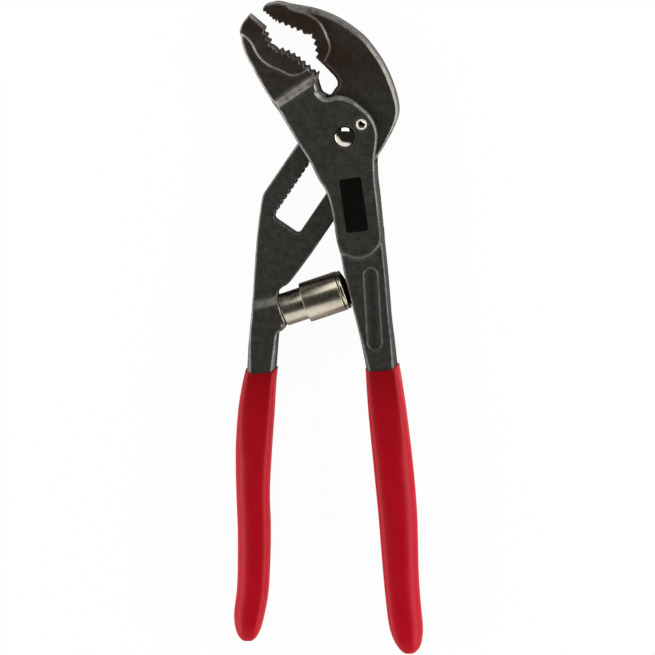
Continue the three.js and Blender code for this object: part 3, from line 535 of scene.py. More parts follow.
# The forging's colours after the mottle: bare steel for wear and painted highlight, near black for painted
# shade, a brown tint.
phosphated = mottled_finish(
    "phosphated steel", scale=420.0, dark=(0.039, 0.037, 0.032), light=(0.072, 0.069, 0.060),
    smooth=0.38, rough=0.50, bump=0.22, metallic=0.8,
    forging=((0.38, 0.365, 0.335), (0.012, 0.011, 0.010), (0.036, 0.022, 0.015)))


def add_piece(name, points, faces, body, slot, material, *nodes, sharp=None, weld=True):
    """A piece of the tool from points in millimetres: smooth, riding a body and standing for nodes."""
    mesh = bpy.data.meshes.new(name)
    mesh.from_pydata(points * MM, [], faces)
    if weld:
        work = bmesh.new()
        work.from_mesh(mesh)
        bmesh.ops.remove_doubles(work, verts=work.verts, dist=WELD_DISTANCE)
        work.to_mesh(mesh)
        work.free()
    mesh.shade_smooth()
    if sharp:
        mesh.set_sharp_from_angle(angle=np.radians(sharp))
    mesh.materials.append(material)
    made = link(name, mesh)
    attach(made, body)
    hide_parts(*nodes)
    return made


def add_forging(name, grid, field, body, wear_and_highlight_heights, shade_strength, bite_wear_and_light=0.0, no_bare_round=None):
    """A forging: the skin of its distance field, with its edges' wear and painted highlight and its painted
    shade kept on its points.
    """
    points, faces = skin(field, grid.low)
    made = add_piece(name, points, faces, body, "forged_steel", phosphated, body, weld=False)
    for label, values in wear_highlight_and_shade_marks(points, faces, wear_and_highlight_heights, shade_strength, bite_wear_and_light, no_bare_round).items():
        kept = made.data.attributes.new(label, "FLOAT", "POINT")
        kept.data.foreach_set("value", values.astype(np.float32))


def under_rim(rim, slope, drift, sign):
    """Two points of a shank's side: at the grip's rim, inset from the grip, and a little way down inside it."""
    height, centre, width = rim
    side = sign * (width / 2 - SHANK_INSET)
    return [(centre + side - drift * drop, height + slope * side - drop) for drop in (0, GRIP_ENTRY)]


FRONT_RIM = (-89.6, 13.7, 12.4)
FRONT_RIM_SLOPE = 0.11
FRONT_RIM_DRIFT = -0.12
LOWER_JAW_BACK = [(-36.7, 45.5), (-39.2, 42.4), (-40.3, 38.9), (-38.5, 31.1), (-35.8, 25.9), (-32.3, 19.3),
                  (-28.7, 13.5), (-26.0, 10.2)]
LOWER_TIP_FACE = [(-36.7, 45.5), (-30.9, 40.6)]
LOWER_STEEP_FACE = [(-30.9, 40.6), (-27.4, 33.1)]
LOWER_LONG_FACE = [(-27.4, 33.1), (-24.4, 32.6), (-19.5, 30.4), (-15.6, 27.2), (-10.7, 23.5)]
JAW_ROOT = [(-26.0, 10.2), (-22.0, 7.4), (-4.6, 7.4), (-4.6, 14.8)]
THROAT_WALL = [(-10.7, 23.5), (-11.2, 21.6), (-11.0, 18.8), (-9.5, 16.4), (-7.1, 15.1), (-4.6, 14.8)]
LOWER_PAD_LINE = [(-40.3, 38.9), (-37.6, 36.9), (-35.7, 34.7), (-34, 31.3), (-31.6, 28.3), (-28.4, 26.1),
                  (-25, 24.7), (-21.9, 23.2), (-19.5, 22.8), (-16.5, 23.7), (-14.6, 25.1), (-13.2, 26.4)]
CHEEK_TOP = [(-25.7, 10.2), (-11.0, 20.4)]
CHEEK_SLOPE_RUN = 2.9
CHEEK_NECK = [(-11.0, 20.4), (-10.5, 18.4), (-9.7, 16.2), (-8.2, 14.8), (-6.2, 14.7), (-3, 15.7)]
CHEEK_SHOULDER = [(-3, 15.7), (2.3, 14.2), (7.9, 9.8), (10.1, 7.1), (11.5, 4.4), (12.3, 1), (12.1, -2.5),
                  (11.4, -9), (11.6, -16.4), (12.5, -24.2), (13.6, -36)]
CHEEK_FOOT = [(13.6, -36), (13.4, -40), (10.6, -43.9), (7.6, -45.6), (4.5, -46.3), (0.6, -45.2),
              (-1.7, -43.9), (-3, -40.5)]
CHEEK_BACK = [(-3, -40.5), (-5, -28.9), (-7.3, -21), (-10.1, -16.6), (-13.5, -9.8), (-18.3, -2.2),
              (-25.7, 10.2)]
FRONT_SHANK_BACK = [(-3.7, -36), (-1.3, -47.9), (-0.5, -52.5), (2.7, -65.2), (5.6, -76.9),
                    *under_rim(FRONT_RIM, FRONT_RIM_SLOPE, FRONT_RIM_DRIFT, -1)]
FRONT_SHANK_SIDE = [*under_rim(FRONT_RIM, FRONT_RIM_SLOPE, FRONT_RIM_DRIFT, 1)[::-1], (18.0, -79),
                    (16.9, -70.3), (15.7, -55.6), (14.2, -40.9), (13.5, -36)]
SLOT_ANGLE = np.radians(56)
ARM_LEFT = 13.4
ARM_RIGHT = 14.5
SLOT_LOWER_END = 42.1
WINDOW_TURNS = np.radians([4, -16])
BOLT_RADIUS = 2.5
BOLT_HEAD_RADIUS = 3.6
BOLT_HEAD_SEAT = 1.4
NUT_RADIUS = 4.6
NUT_HEIGHT = 1.8
STOP_PIN_AT = (6.3, 4.8)
STOP_PIN_RADIUS = 2.05
RECESS_TOP = (9.7, -53.0)
RECESS_FOOT = (11.3, -78.8)
RECESS_RADIUS = 2.8
RECESS_DEPTH = 1.2
RECESS_SLOPE = 0.4


def in_slot(along, across, turn=0.0):
    """A point along the arm's slot from the pivot and across it to the right, after a turn of the arm."""
    angle = SLOT_ANGLE + turn
    return [along * np.cos(angle) + across * np.sin(angle), along * np.sin(angle) - across * np.cos(angle)]


def joint_window():
    """The room that the arm needs between the cheeks: its two edge lines at both ends of its turn."""
    reach = SLOT_LOWER_END + ARM_LEFT
    closed, spread = WINDOW_TURNS
    middle, crossing = WINDOW_TURNS.mean(), 1 / np.cos((closed - spread) / 2)
    left, right = -ARM_LEFT - CLEARANCE, ARM_RIGHT + CLEARANCE
    return np.array([
        in_slot(-reach, right, closed), in_slot(0, right * crossing, middle), in_slot(reach, right, spread),
        in_slot(reach, left, closed), in_slot(0, left * crossing, middle), in_slot(-reach, left, spread)])


def past_line(grid, start, end):
    """Distance past a line from start to end, to the left of it."""
    way = np.subtract(end, start) / np.linalg.norm(np.subtract(end, start))
    return ((grid.x - start[0]) * -way[1] + (grid.y - start[1]) * way[0])[:, :, None]


def falling(grid, past, high, low, run):
    """A face that falls from one half thickness to another over a run past a line."""
    fall = (high - low) / run
    return (grid.depth - high + fall * past) / np.hypot(1, fall)


def long_recess(grid, face, top):
    """A round-ended recess: distance to its middle line, with walls that lean out towards the face."""
    start, end = np.array(RECESS_TOP), np.array(RECESS_FOOT)
    run = end - start
    part = np.clip(((grid.x - start[0]) * run[0] + (grid.y - start[1]) * run[1]) / (run @ run), 0, 1)
    away = np.hypot(grid.x - start[0] - part * run[0], grid.y - start[1] - part * run[1])[:, :, None]
    height = grid.z - face if top else face - grid.z
    return np.maximum(away - RECESS_RADIUS - RECESS_SLOPE * height, -RECESS_DEPTH - height)


low, high = (np.array(corner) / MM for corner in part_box("front_lever"))
low[1] = FRONT_RIM[0] - GRIP_ENTRY - TANG_MARGIN
grid = ForgingGrid(low, high)
jaw_loop = outline(LOWER_JAW_BACK, JAW_ROOT[:2], JAW_ROOT[1:3], JAW_ROOT[2:], THROAT_WALL[::-1],
                   LOWER_LONG_FACE[::-1], LOWER_STEEP_FACE[::-1], LOWER_TIP_FACE[::-1])
pad_loop = outline(LOWER_PAD_LINE, [LOWER_PAD_LINE[-1], *LOWER_LONG_FACE[-2::-1]], LOWER_STEEP_FACE[::-1],
                   LOWER_TIP_FACE[::-1], LOWER_JAW_BACK[:3])
cheek_loop = outline(CHEEK_TOP, CHEEK_NECK, CHEEK_SHOULDER, CHEEK_FOOT, CHEEK_BACK)
side = grid.edge(jaw_loop)
jaw = grid.plate(side, BLADE_HALF, JAW_BEVEL)
jaw = join(jaw, grid.plate(grid.edge(pad_loop), PAD_HALF, PAD_BEVEL), STEP_FILLET)
past = past_line(grid, *CHEEK_TOP)
slope = falling(grid, past, JOINT_HALF, BLADE_HALF, CHEEK_SLOPE_RUN)
slope = meet(slope, grid.depth - JOINT_HALF + SLOPE_SINK, SLOPE_ROUNDING)
slope = meet(meet(slope, side), (slope + side + JAW_BEVEL) * np.sqrt(0.5))
slope = np.maximum(slope, np.abs(past) - CHEEK_SLOPE_RUN)
lever = join(jaw, slope, SLOPE_FILLET)
lever = join(lever, grid.plate(grid.edge(cheek_loop), JOINT_HALF, CHEEK_BEVEL), STEP_FILLET)
shank = grid.plate(grid.edge(outline(FRONT_SHANK_BACK, FRONT_SHANK_SIDE)), SHANK_HALF, SHANK_BEVEL)
lever = join(lever, shank)
lever = cut(lever, np.maximum(grid.edge(joint_window()), grid.depth - BLADE_HALF - CLEARANCE))
head_seat = grid.disc((0, 0), BOLT_HEAD_RADIUS + CLEARANCE)
nut_seat = grid.disc((0, 0), NUT_RADIUS + CLEARANCE)
for seat in (
        grid.disc((0, 0), BOLT_RADIUS + CLEARANCE),
        grid.pocket(head_seat, 2 * JOINT_HALF - BOLT_HEAD_SEAT),
        grid.pocket(nut_seat, NUT_HEIGHT + CLEARANCE, False),
        grid.disc(STOP_PIN_AT, STOP_PIN_RADIUS + CLEARANCE / 2)):
    lever = cut(lever, seat, SEAT_EDGE)
lever = cut(lever, long_recess(grid, MIDDLE + SHANK_HALF, True))
lever = cut(lever, long_recess(grid, MIDDLE - SHANK_HALF, False))
for face in (LOWER_STEEP_FACE, LOWER_LONG_FACE):
    lever = cut(lever, grid.edge(tooth_gaps(face, TOOTH_PITCH, TOOTH_DEPTH)), TOOTH_EDGE)
add_forging("front_forging", grid, lever, "front_lever", FRONT_WEAR_AND_HIGHLIGHT, FRONT_SHADE, bite_wear_and_light=FRONT_BITE_WEAR_AND_LIGHT)

# Back lever.
# Forged and finished like the front one: hooked upper jaw, slotted arm with a rack of teeth, shank and tang.
# A round boss on its shank carries the strut; the arm runs between the front lever's cheeks.
BACK_RIM = (-91.1, -32.4, 11.9)
BACK_RIM_SLOPE = 0.06
BACK_RIM_DRIFT = 0.17
SLOT_LEFT = 5.2
SLOT_RIGHT = 6.25
SLOT_UPPER_CENTRE = 5.2
SLOT_CORNER = 1.4
RACK_PITCH = 2.45
RACK_DEPTH = 1.1
RACK_TEETH = 15
RACK_MARGIN = 1.6
FINE_PITCH = 1.5
FINE_DEPTH = 0.9
# Bare colour by height on the back forging, as wear and painted highlight.
BACK_WEAR_AND_HIGHLIGHT = ((-86, -69, -62, 0), (0.3, 1.5, 1.0, 0.9))
# How much painted shade the back forging gets.
BACK_SHADE = 0.45
# A round place on the back lever, its centre and fade radii, that gets no bare colour.
BACK_NO_BARE_ROUND = ((-7.0, 25.0), (8.5, 11.5))
UPPER_JAW_BACK = [(-31.9, 47.4), (-30.7, 49.2), (-28.8, 49.8), (-26.1, 50.3), (-18.4, 49.1), (-12.3, 48),
                  (-6.3, 46), (-1, 43.3), (3.9, 39.9), (8.2, 36), (14.3, 27.4), (18.4, 17.9), (20, 9.9),
                  (18.6, 4), (15, -3.1), in_slot(-1.5, ARM_RIGHT)]
UPPER_TIP_FACE = [(-31.9, 47.4), (-26.7, 43.0)]
UPPER_LONG_FACE = [(-26.7, 43.0), (-15.8, 38.5)]
UPPER_NOTCH = [(-15.8, 38.5), (-13.9, 38.5)]
UPPER_STEEP_FACE = [(-13.9, 38.5), (-12.6, 36.0), (-11.3, 29.6)]
UPPER_THROAT = [(-11.3, 29.6), (-8.2, 26.3), (-5.5, 23.5), (-4.2, 22.1), (-3.3, 20.4), (-3.4, 18.7),
                in_slot(12.4, -ARM_LEFT)]
UPPER_PAD_LINE = [(-22.4, 49.6), (-21.2, 48.4), (-19, 47.6), (-15.8, 46.8), (-12.9, 45.5), (-10, 43.2),
                  (-8.3, 40.6), (-6.9, 37.4), (-5.9, 34), (-6.4, 31.3), (-8.6, 27.0)]
ARM_BACK = [in_slot(-35.5, -ARM_LEFT), (-32.1, -25.6), (-34.0, -40.2), (-35.5, -62.2), (-35.9, -70)]
ARM_SIDE = [(-27, -70), (-26.4, -62), (-24.6, -58.8), (-21.2, -56.2), in_slot(-45, ARM_RIGHT)]
BACK_SHANK_SIDE = [*under_rim(BACK_RIM, BACK_RIM_SLOPE, BACK_RIM_DRIFT, 1)[::-1], (-26.3, -79),
                   (-25.8, -74.5), (-25.7, -68), (-26.2, -60.5)]
BACK_SHANK_BACK = [(-35.2, -62.0), (-36.4, -74), (-37.1, -82),
                   *under_rim(BACK_RIM, BACK_RIM_SLOPE, BACK_RIM_DRIFT, -1)]
STRUT_FOOT = np.array((-24.0, -67.5, MIDDLE))
STRUT_ANGLE = np.radians(19.3)
STRUT_WAY = np.array((np.cos(STRUT_ANGLE), np.sin(STRUT_ANGLE), 0.0))
BOSS_RADIUS = 6.9
BOSS_LENGTH = 8.0
BOSS_ROUNDING = 3.0
BOSS_ROUND_END = 2.0
BOSS_CROWN = 7.6
BACK_STEP = [(-35.0, -67.0), (-26.0, -64.8)]
BACK_STEP_RUN = 3.3
UPPER_PAD_FILLET = 0.4
SHANK_FILLET = 0.6
DEEP_INSIDE = -9.0


def arm_slot(steps=24, corner_steps=6):
    """The slot's outline: a half circle at its upper end, a quarter circle at each corner of its lower end."""
    radius, middle = (SLOT_LEFT + SLOT_RIGHT) / 2, (SLOT_RIGHT - SLOT_LEFT) / 2
    turn = np.linspace(-np.pi / 2, np.pi / 2, steps)
    top = np.column_stack(in_slot(SLOT_UPPER_CENTRE + radius * np.cos(turn), middle - radius * np.sin(turn)))
    corner = np.linspace(0, np.pi / 2, corner_steps)
    up, aside = SLOT_CORNER * (1 - np.sin(corner)), SLOT_CORNER * (1 - np.cos(corner))
    left = np.column_stack(in_slot(up - SLOT_LOWER_END, aside - SLOT_LEFT))
    right = np.column_stack(in_slot(up - SLOT_LOWER_END, SLOT_RIGHT - aside))
    return np.vstack([top, left, right[::-1]])


def rack_gaps(steps=8):
    """What is cut away between the rack's teeth: a cosine wave along the slot's left side."""
    along = np.arange(steps * RACK_TEETH + 1) / steps
    places = -SLOT_LOWER_END + RACK_MARGIN + along * RACK_PITCH
    wave = np.column_stack(in_slot(places, -SLOT_LEFT - RACK_DEPTH * (1 - np.cos(2 * np.pi * along)) / 2))
    return np.vstack([wave, in_slot(places[-1], 0), in_slot(places[0], 0)])


low, high = (np.array(corner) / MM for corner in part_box("back_lever"))
low[1] = BACK_RIM[0] - GRIP_ENTRY - TANG_MARGIN
grid = ForgingGrid(low, high)
blade_loop = outline(UPPER_JAW_BACK[::-1], UPPER_TIP_FACE, UPPER_LONG_FACE, UPPER_NOTCH, UPPER_STEEP_FACE,
                     UPPER_THROAT, ARM_BACK, ARM_SIDE)
pad_loop = outline(UPPER_PAD_LINE[::-1], [UPPER_PAD_LINE[0], *UPPER_JAW_BACK[3::-1]], UPPER_TIP_FACE,
                   UPPER_LONG_FACE, UPPER_NOTCH, UPPER_STEEP_FACE, [UPPER_THROAT[0], UPPER_PAD_LINE[-1]])
lever = grid.plate(grid.edge(blade_loop), BLADE_HALF, BLADE_BEVEL)
lever = join(lever, grid.plate(grid.edge(pad_loop), PAD_HALF, PAD_BEVEL), UPPER_PAD_FILLET)
along = ((grid.x - STRUT_FOOT[0]) * STRUT_WAY[0] + (grid.y - STRUT_FOOT[1]) * STRUT_WAY[1])[:, :, None]
aside = ((grid.y - STRUT_FOOT[1]) * STRUT_WAY[0] - (grid.x - STRUT_FOOT[0]) * STRUT_WAY[1])[:, :, None]
boss = meet(np.abs(aside) - BOSS_RADIUS, along + CLEARANCE, BOSS_ROUNDING)
boss = np.maximum(boss, -along - BOSS_LENGTH)
shank = join(grid.edge(outline(BACK_SHANK_SIDE, BACK_SHANK_BACK)), boss)
shank = grid.plate(shank, SHANK_HALF, SHANK_BEVEL)
past = past_line(grid, *BACK_STEP)
shank = meet(shank, falling(grid, past, SHANK_HALF, BLADE_HALF, BACK_STEP_RUN), SLOPE_ROUNDING)
crown = np.hypot(aside, grid.z - MIDDLE) - BOSS_CROWN
shank = meet(shank, np.where(along > -BOSS_ROUND_END, crown, DEEP_INSIDE))
lever = join(lever, shank, SHANK_FILLET)
lever = cut(lever, grid.edge(arm_slot()))
lever = cut(lever, grid.edge(rack_gaps()), TOOTH_EDGE)
for face, pitch, depth in (
        (UPPER_TIP_FACE, FINE_PITCH, FINE_DEPTH), (UPPER_LONG_FACE, TOOTH_PITCH, TOOTH_DEPTH),
        (UPPER_STEEP_FACE, TOOTH_PITCH, TOOTH_DEPTH)):
    lever = cut(lever, grid.edge(tooth_gaps(face[::-1], pitch, depth)), TOOTH_EDGE)
add_forging("back_forging", grid, lever, "back_lever", BACK_WEAR_AND_HIGHLIGHT, BACK_SHADE, no_bare_round=BACK_NO_BARE_ROUND)

# Grips.
# Red vinyl, dipped over the tangs in one thick coat that ends in a plain rim and a rounded tip.
# The coat is soft and semi-gloss, and holds on the tang by its own shrinking.
GRIP_THICKNESS = 13.6
RIM_SQUARENESS = 5.0
OUTER_SQUARENESS = 2.2
INNER_SQUARENESS = 3.4
SQUARENESS_FADE = 35.0
GRIP_THIN_WIDTH = 10.5
RIM_SLOPE_FADE = 18.0
RIM_SADDLE = 1.1
SADDLE_POWER = 4
LIP_RADIUS = 0.7
LIP_STEPS = 6
GRIP_CURVE_STEPS = 40
GRIP_RINGS = 150
RIM_SHARE = 0.35
RIM_STEP = 1.0
GRIP_SIDES = 72
# Painted shade on the grips' flat faces: darkest at the rim, fading down the grip, in a dark red.
RIM_SHADE_NEAR = (-0.108, -0.090, 0.5, 1.0)
RIM_SHADE_REACH = (-0.190, -0.108, 0.0, 1.0)
FLAT_FACE_SHADE = (0.55, 0.95, 0.0, 1.0)
RIM_SHADE_COLOUR = (0.20, 0.0004, 0.0030)

vinyl = mottled_finish(
    "red dipped vinyl", scale=40.0, dark=(0.35, 0.0012, 0.008), light=(0.38, 0.0022, 0.011),
    smooth=0.40, rough=0.46, bump=0.0, metallic=0.0, sheen=0.11)

# Painted rim shade: on its flat faces the vinyl is painted darker towards its rim.
rim_shading, given, made = effect_group(
    "painted rim shade", [("Colour", COLOUR), ("Thin", COLOUR)], [("Colour", COLOUR)])
height = own_parts(rim_shading)["Y"]
flatness = combined(rim_shading, "ABSOLUTE", own_parts(rim_shading, "Normal")["Z"])
near_rim, down_grip, flat_faces = (ranged(rim_shading, source, *falls) for source, falls in (
    (height, RIM_SHADE_NEAR), (height, RIM_SHADE_REACH), (flatness, FLAT_FACE_SHADE)))
rim_shade = combined(rim_shading, "MULTIPLY", combined(rim_shading, "MULTIPLY", near_rim, down_grip), flat_faces)
feed(rim_shading, mixed(rim_shading, rim_shade, given.outputs["Colour"], given.outputs["Thin"]), made.inputs["Colour"])
tree = vinyl.node_tree
base = tree.nodes["Principled BSDF"].inputs["Base Color"]
# The vinyl's colour with painted rim shade on its flat faces.
rim_shaded = place_group(tree, rim_shading, Colour=base.links[0].from_socket, Thin=(*RIM_SHADE_COLOUR, 1))
feed(tree, rim_shaded["Colour"], base)


def ring_faces(rings, sides):
    """The four-sided faces between rings of points, each ring closed on itself."""
    first, next_side = np.arange(sides), (np.arange(sides) + 1) % sides
    rows = np.arange(rings - 1)[:, None] * sides
    return np.stack([rows + first, rows + next_side, rows + sides + next_side, rows + sides + first],
                    axis=2).reshape(-1, 4)[:, ::-1]


def grip_skin(stations, end_start, end_bulge, tip, slope, outer):
    """A grip: squarish rounded rings carried down a centre line, with a rolled rim and a rounded tip.

    A ring is cosine and sine raised to two over the squareness. Its width and centre follow curves through
    the stations, and from the end's start the width falls off as (1 - t^p)^(1/p) down to the tip.
    """
    heights, centres, widths = smooth_run(stations, GRIP_CURVE_STEPS).T
    drop = (1 - np.cos(np.linspace(0, np.pi, GRIP_RINGS))) / 2
    spread = np.concatenate([RIM_SHARE * drop, np.linspace(RIM_SHARE, 1, GRIP_RINGS)[1:]])
    height = stations[0][0] + (tip[1] - stations[0][0]) * spread
    centre = np.interp(height, heights[::-1], centres[::-1])
    width = np.interp(height, heights[::-1], widths[::-1])
    fall = np.clip((end_start - height) / (end_start - tip[1]), 0, 1)
    centre = centre + (tip[0] - centres[-1]) * np.clip((heights[-1] - height) / (heights[-1] - tip[1]), 0, 1)
    width = width * np.maximum(1 - fall ** end_bulge, 0) ** (1 / end_bulge)
    thick = GRIP_THICKNESS * np.minimum(1, np.sqrt(width / GRIP_THIN_WIDTH))
    roll = np.linspace(-np.pi / 2, 0, LIP_STEPS, endpoint=False)
    height = np.concatenate([
        height[0] - np.array([GRIP_ENTRY, RIM_STEP]), height[0] - LIP_RADIUS * (1 + np.sin(roll)), height[1:]])
    inset = np.concatenate([
        np.full(2, 2 * LIP_RADIUS), LIP_RADIUS * (1 - np.cos(roll)), np.zeros(len(width) - 1)])
    grow = len(height) - len(width)
    centre, width, thick = (np.concatenate([np.full(grow, v[0]), v]) for v in (centre, width, thick))
    turn = np.arange(GRIP_SIDES) * 2 * np.pi / GRIP_SIDES
    cosine, sine = np.cos(turn), np.sin(turn)
    below = np.clip((stations[0][0] - height) / SQUARENESS_FADE, 0, 1)[:, None]
    lower = np.where(cosine * outer > 0, OUTER_SQUARENESS, INNER_SQUARENESS)
    square = RIM_SQUARENESS + below * (lower - RIM_SQUARENESS)
    flat = np.sign(cosine) * np.abs(cosine) ** (2 / square)
    deep = np.sign(sine) * np.abs(sine) ** (2 / square)
    out = flat * np.maximum(width / 2 - inset, 0)[:, None]
    fade = np.clip(1 - (stations[0][0] - height) / RIM_SLOPE_FADE, 0, 1)
    points = np.stack([
        centre[:, None] + out,
        height[:, None] + fade[:, None] * (slope * out + RIM_SADDLE * flat ** SADDLE_POWER),
        MIDDLE + deep * np.maximum(thick / 2 - inset, 0)[:, None]], axis=2)
    return points.reshape(-1, 3), ring_faces(len(height), GRIP_SIDES)


FRONT_STATIONS = [FRONT_RIM, (-97, 14.6, 13.4), (-108, 15.9, 14.4), (-127, 18, 15), (-146, 19.7, 14.7),
                  (-168, 20.9, 13.5), (-181, 22, 13.1), (-190.7, 23.2, 13), (-196.4, 24.1, 13)]
BACK_STATIONS = [BACK_RIM, (-97, -33.4, 12.7), (-107, -34.5, 13.7), (-122, -35.5, 13.7),
                 (-138, -35.8, 12.7), (-150, -35.4, 12.6), (-161, -35.4, 12.4), (-175, -35.9, 12.1),
                 (-185.4, -37.3, 12.2), (-191.4, -37.7, 12.2)]
for name, layout in (
        ("front_grip", dict(stations=FRONT_STATIONS, end_start=-185.0, end_bulge=2.2, tip=(24.4, -199.3),
                            slope=FRONT_RIM_SLOPE, outer=1)),
        ("back_grip", dict(stations=BACK_STATIONS, end_start=-177.0, end_bulge=2.6, tip=(-37.8, -195.3),
                           slope=BACK_RIM_SLOPE, outer=-1))):
    body = name.replace("grip", "lever")
    add_piece(name + "_coat", *grip_skin(**layout), body, "red_vinyl", vinyl, name)

# Pivot bolt and nut.
# Turned steel: a low polished dome let into the front cheek, and a flush round nut on the tail at the back.
# The bolt holds the two cheeks and the bush between them together.
DOME_FOOT = 0.4
DOME_RISE = 0.83
DOME_FULLNESS = 2.5
DOME_STEPS = 20
ROUND_SIDES = 96
SHARP_ANGLE = 40
NEARLY_UP = 0.9
CORNER_SHARE = 0.45
NUT_EDGE = 0.25
UP = (0, 0, 1)

polished = mottled_finish(
    "polished steel", scale=300.0, dark=(0.46, 0.43, 0.37), light=(0.54, 0.51, 0.45),
    smooth=0.05, rough=0.09, bump=0.02, metallic=1.0)
machined = mottled_finish(
    "machined steel", scale=700.0, dark=(0.27, 0.265, 0.25), light=(0.40, 0.39, 0.37),
    smooth=0.28, rough=0.42, bump=0.10, metallic=1.0)


def turned(profile, foot, way):
    """A turned piece: a profile of radius and place along an axis, carried round that axis."""
    radius, place = np.asarray(profile, float).T
    way = np.asarray(way, float)
    side = np.cross(way, UP if abs(way[2]) < NEARLY_UP else (0, 1, 0))
    side /= np.linalg.norm(side)
    turn = np.arange(ROUND_SIDES) * 2 * np.pi / ROUND_SIDES
    spokes = np.cos(turn)[:, None] * side + np.sin(turn)[:, None] * np.cross(way, side)
    points = np.asarray(foot) + place[:, None, None] * way + radius[:, None, None] * spokes
    return points.reshape(-1, 3), ring_faces(len(radius), ROUND_SIDES)[:, ::-1]


def rounded(corners, radius, steps=5):
    """A profile whose corners are rounded: each corner becomes a curve between points set back from it."""
    corners = np.asarray(corners, float)
    before, here, after = corners[:-2], corners[1:-1], corners[2:]
    back, ahead = before - here, after - here
    back_long, ahead_long = (np.linalg.norm(way, axis=1, keepdims=True) for way in (back, ahead))
    reach = np.minimum(radius, CORNER_SHARE * np.minimum(back_long, ahead_long))
    start, end = here + back / back_long * reach, here + ahead / ahead_long * reach
    part = np.linspace(0, 1, steps)[:, None, None]
    bends = (1 - part) ** 2 * start + 2 * part * (1 - part) * here + part ** 2 * end
    return np.vstack([corners[:1], bends.transpose(1, 0, 2).reshape(-1, 2), corners[-1:]])


def dome(radius, base, rise, steps=DOME_STEPS):
    """The end of a profile: it falls from the axis to the rim as a power of its radius."""
    part = np.linspace(1, 0, steps)
    return np.column_stack([radius * part, base + rise * (1 - part ** DOME_FULLNESS)])


face = 2 * JOINT_HALF
bolt_profile = np.vstack([
    [(0, 0), (BOLT_RADIUS, 0), (BOLT_RADIUS, face - BOLT_HEAD_SEAT + CLEARANCE),
     (BOLT_HEAD_RADIUS, face - BOLT_HEAD_SEAT + CLEARANCE)],
    dome(BOLT_HEAD_RADIUS, face + DOME_FOOT, DOME_RISE)])
add_piece("bolt_with_dome", *turned(bolt_profile, (0, 0, 0), UP), "front_lever", "polished_steel", polished,
          "pivot_bolt", sharp=SHARP_ANGLE)


def ring_profile(inner, outer, start, end, edge):
    """The closed profile of a ring, with rounded edges."""
    middle = (inner + outer) / 2
    return rounded([(middle, start), (outer, start), (outer, end), (inner, end), (inner, start),
                    (middle, start)], edge)


nut_profile = ring_profile(BOLT_RADIUS + CLEARANCE, NUT_RADIUS, 0, NUT_HEIGHT, NUT_EDGE)
add_piece("flush_nut", *turned(nut_profile, (0, 0, 0), UP), "front_lever", "plain_steel", machined,
          "pivot_nut", sharp=SHARP_ANGLE)

# Stop pin.
# A hollow steel pin pressed through both cheeks beside the bolt; the arm's slot stops against it.
# Its rolled rim is polished bright by handling.
STOP_PIN_BORE = 1.4
STOP_PIN_INSET = 0.2
STOP_PIN_PROUD = 0.15
STOP_PIN_EDGE = 0.35
STOP_PIN_SHARP = 50
satin = mottled_finish(
    "satin steel", scale=500.0, dark=(0.72, 0.68, 0.58), light=(0.85, 0.81, 0.72),
    smooth=0.32, rough=0.42, bump=0.04, metallic=0.45)
pin_profile = ring_profile(
    STOP_PIN_BORE, STOP_PIN_RADIUS, STOP_PIN_INSET, face + STOP_PIN_PROUD, STOP_PIN_EDGE)
add_piece("hollow_stop_pin", *turned(pin_profile, (*STOP_PIN_AT, 0), UP), "front_lever", "polished_steel",
          satin, "stop_pin", sharp=STOP_PIN_SHARP)

# Plate.
# A thin bare steel plate, stoved matt black.
# It is let into the front cheek almost flush and glued; its hidden seat isn't cut in the forging here.
PLATE_CENTRE = (3.4, -26.0)
PLATE_SIZE = (8.5, 20.8)
PLATE_LEAN = np.radians(8)
PLATE_DEPTH = 0.8
PLATE_PROUD = 0.05
PLATE_CORNER = 1.0
PLATE_EDGE = 0.1
PLATE_TOP_PART = 0.985
PLATE_INNER_PART = 0.5
black_enamel = mottled_finish(
    "black enamel", scale=240.0, dark=(0.0016, 0.0018, 0.0013), light=(0.0036, 0.0038, 0.0029),
    smooth=0.50, rough=0.62, bump=0.06, metallic=0.0, sheen=0.03)


def round_cornered(size, corner, steps=6):
    """A rectangle with rounded corners: a quarter circle at each, one after the other."""
    turn = (np.arange(4)[:, None] + np.linspace(0, 1, steps)) * np.pi / 2
    spread = np.array([(1, 1), (-1, 1), (-1, -1), (1, -1)]) * (np.asarray(size) / 2 - corner)
    return (spread[:, None] + corner * np.stack([np.cos(turn), np.sin(turn)], 2)).reshape(-1, 2)


def slab(loop, centre, lean, rows):
    """A slab: an outline turned about its centre, set in by a part at each of a list of heights."""
    turn = np.array([(np.cos(lean), np.sin(lean)), (-np.sin(lean), np.cos(lean))])
    scale, height = np.asarray(rows, float).T
    flat = (loop @ turn)[None] * scale[:, None, None] + centre
    points = np.dstack([flat, np.broadcast_to(height[:, None, None], flat.shape[:2] + (1,))])
    return points.reshape(-1, 3), ring_faces(len(rows), len(loop))[:, ::-1]


plate_top = face + PLATE_PROUD
plate_rows = [
    (0, plate_top - PLATE_DEPTH), (1, plate_top - PLATE_DEPTH), (1, plate_top - PLATE_EDGE),
    (PLATE_TOP_PART, plate_top), (PLATE_INNER_PART, plate_top), (0, plate_top)]
add_piece(
    "bare_plate", *slab(round_cornered(PLATE_SIZE, PLATE_CORNER), PLATE_CENTRE, PLATE_LEAN, plate_rows),
    "front_lever", "black_plate", black_enamel, "name_plate", sharp=SHARP_ANGLE)

# Bush, locking block and release leaf.
# Machined steel pieces inside the joint: the block slides in the arm's slot and turns on the bolt's bush.
# The leaf is spring steel and keeps the block's teeth clear of the rack.


def repaint(material, *nodes):
    """Gives nodes that keep their own solid shape a finish."""
    for node in nodes:
        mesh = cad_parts[node].data
        mesh.materials.clear()
        mesh.materials.append(material)


repaint(machined, "pivot_bush", "locking_block", "release_leaf")

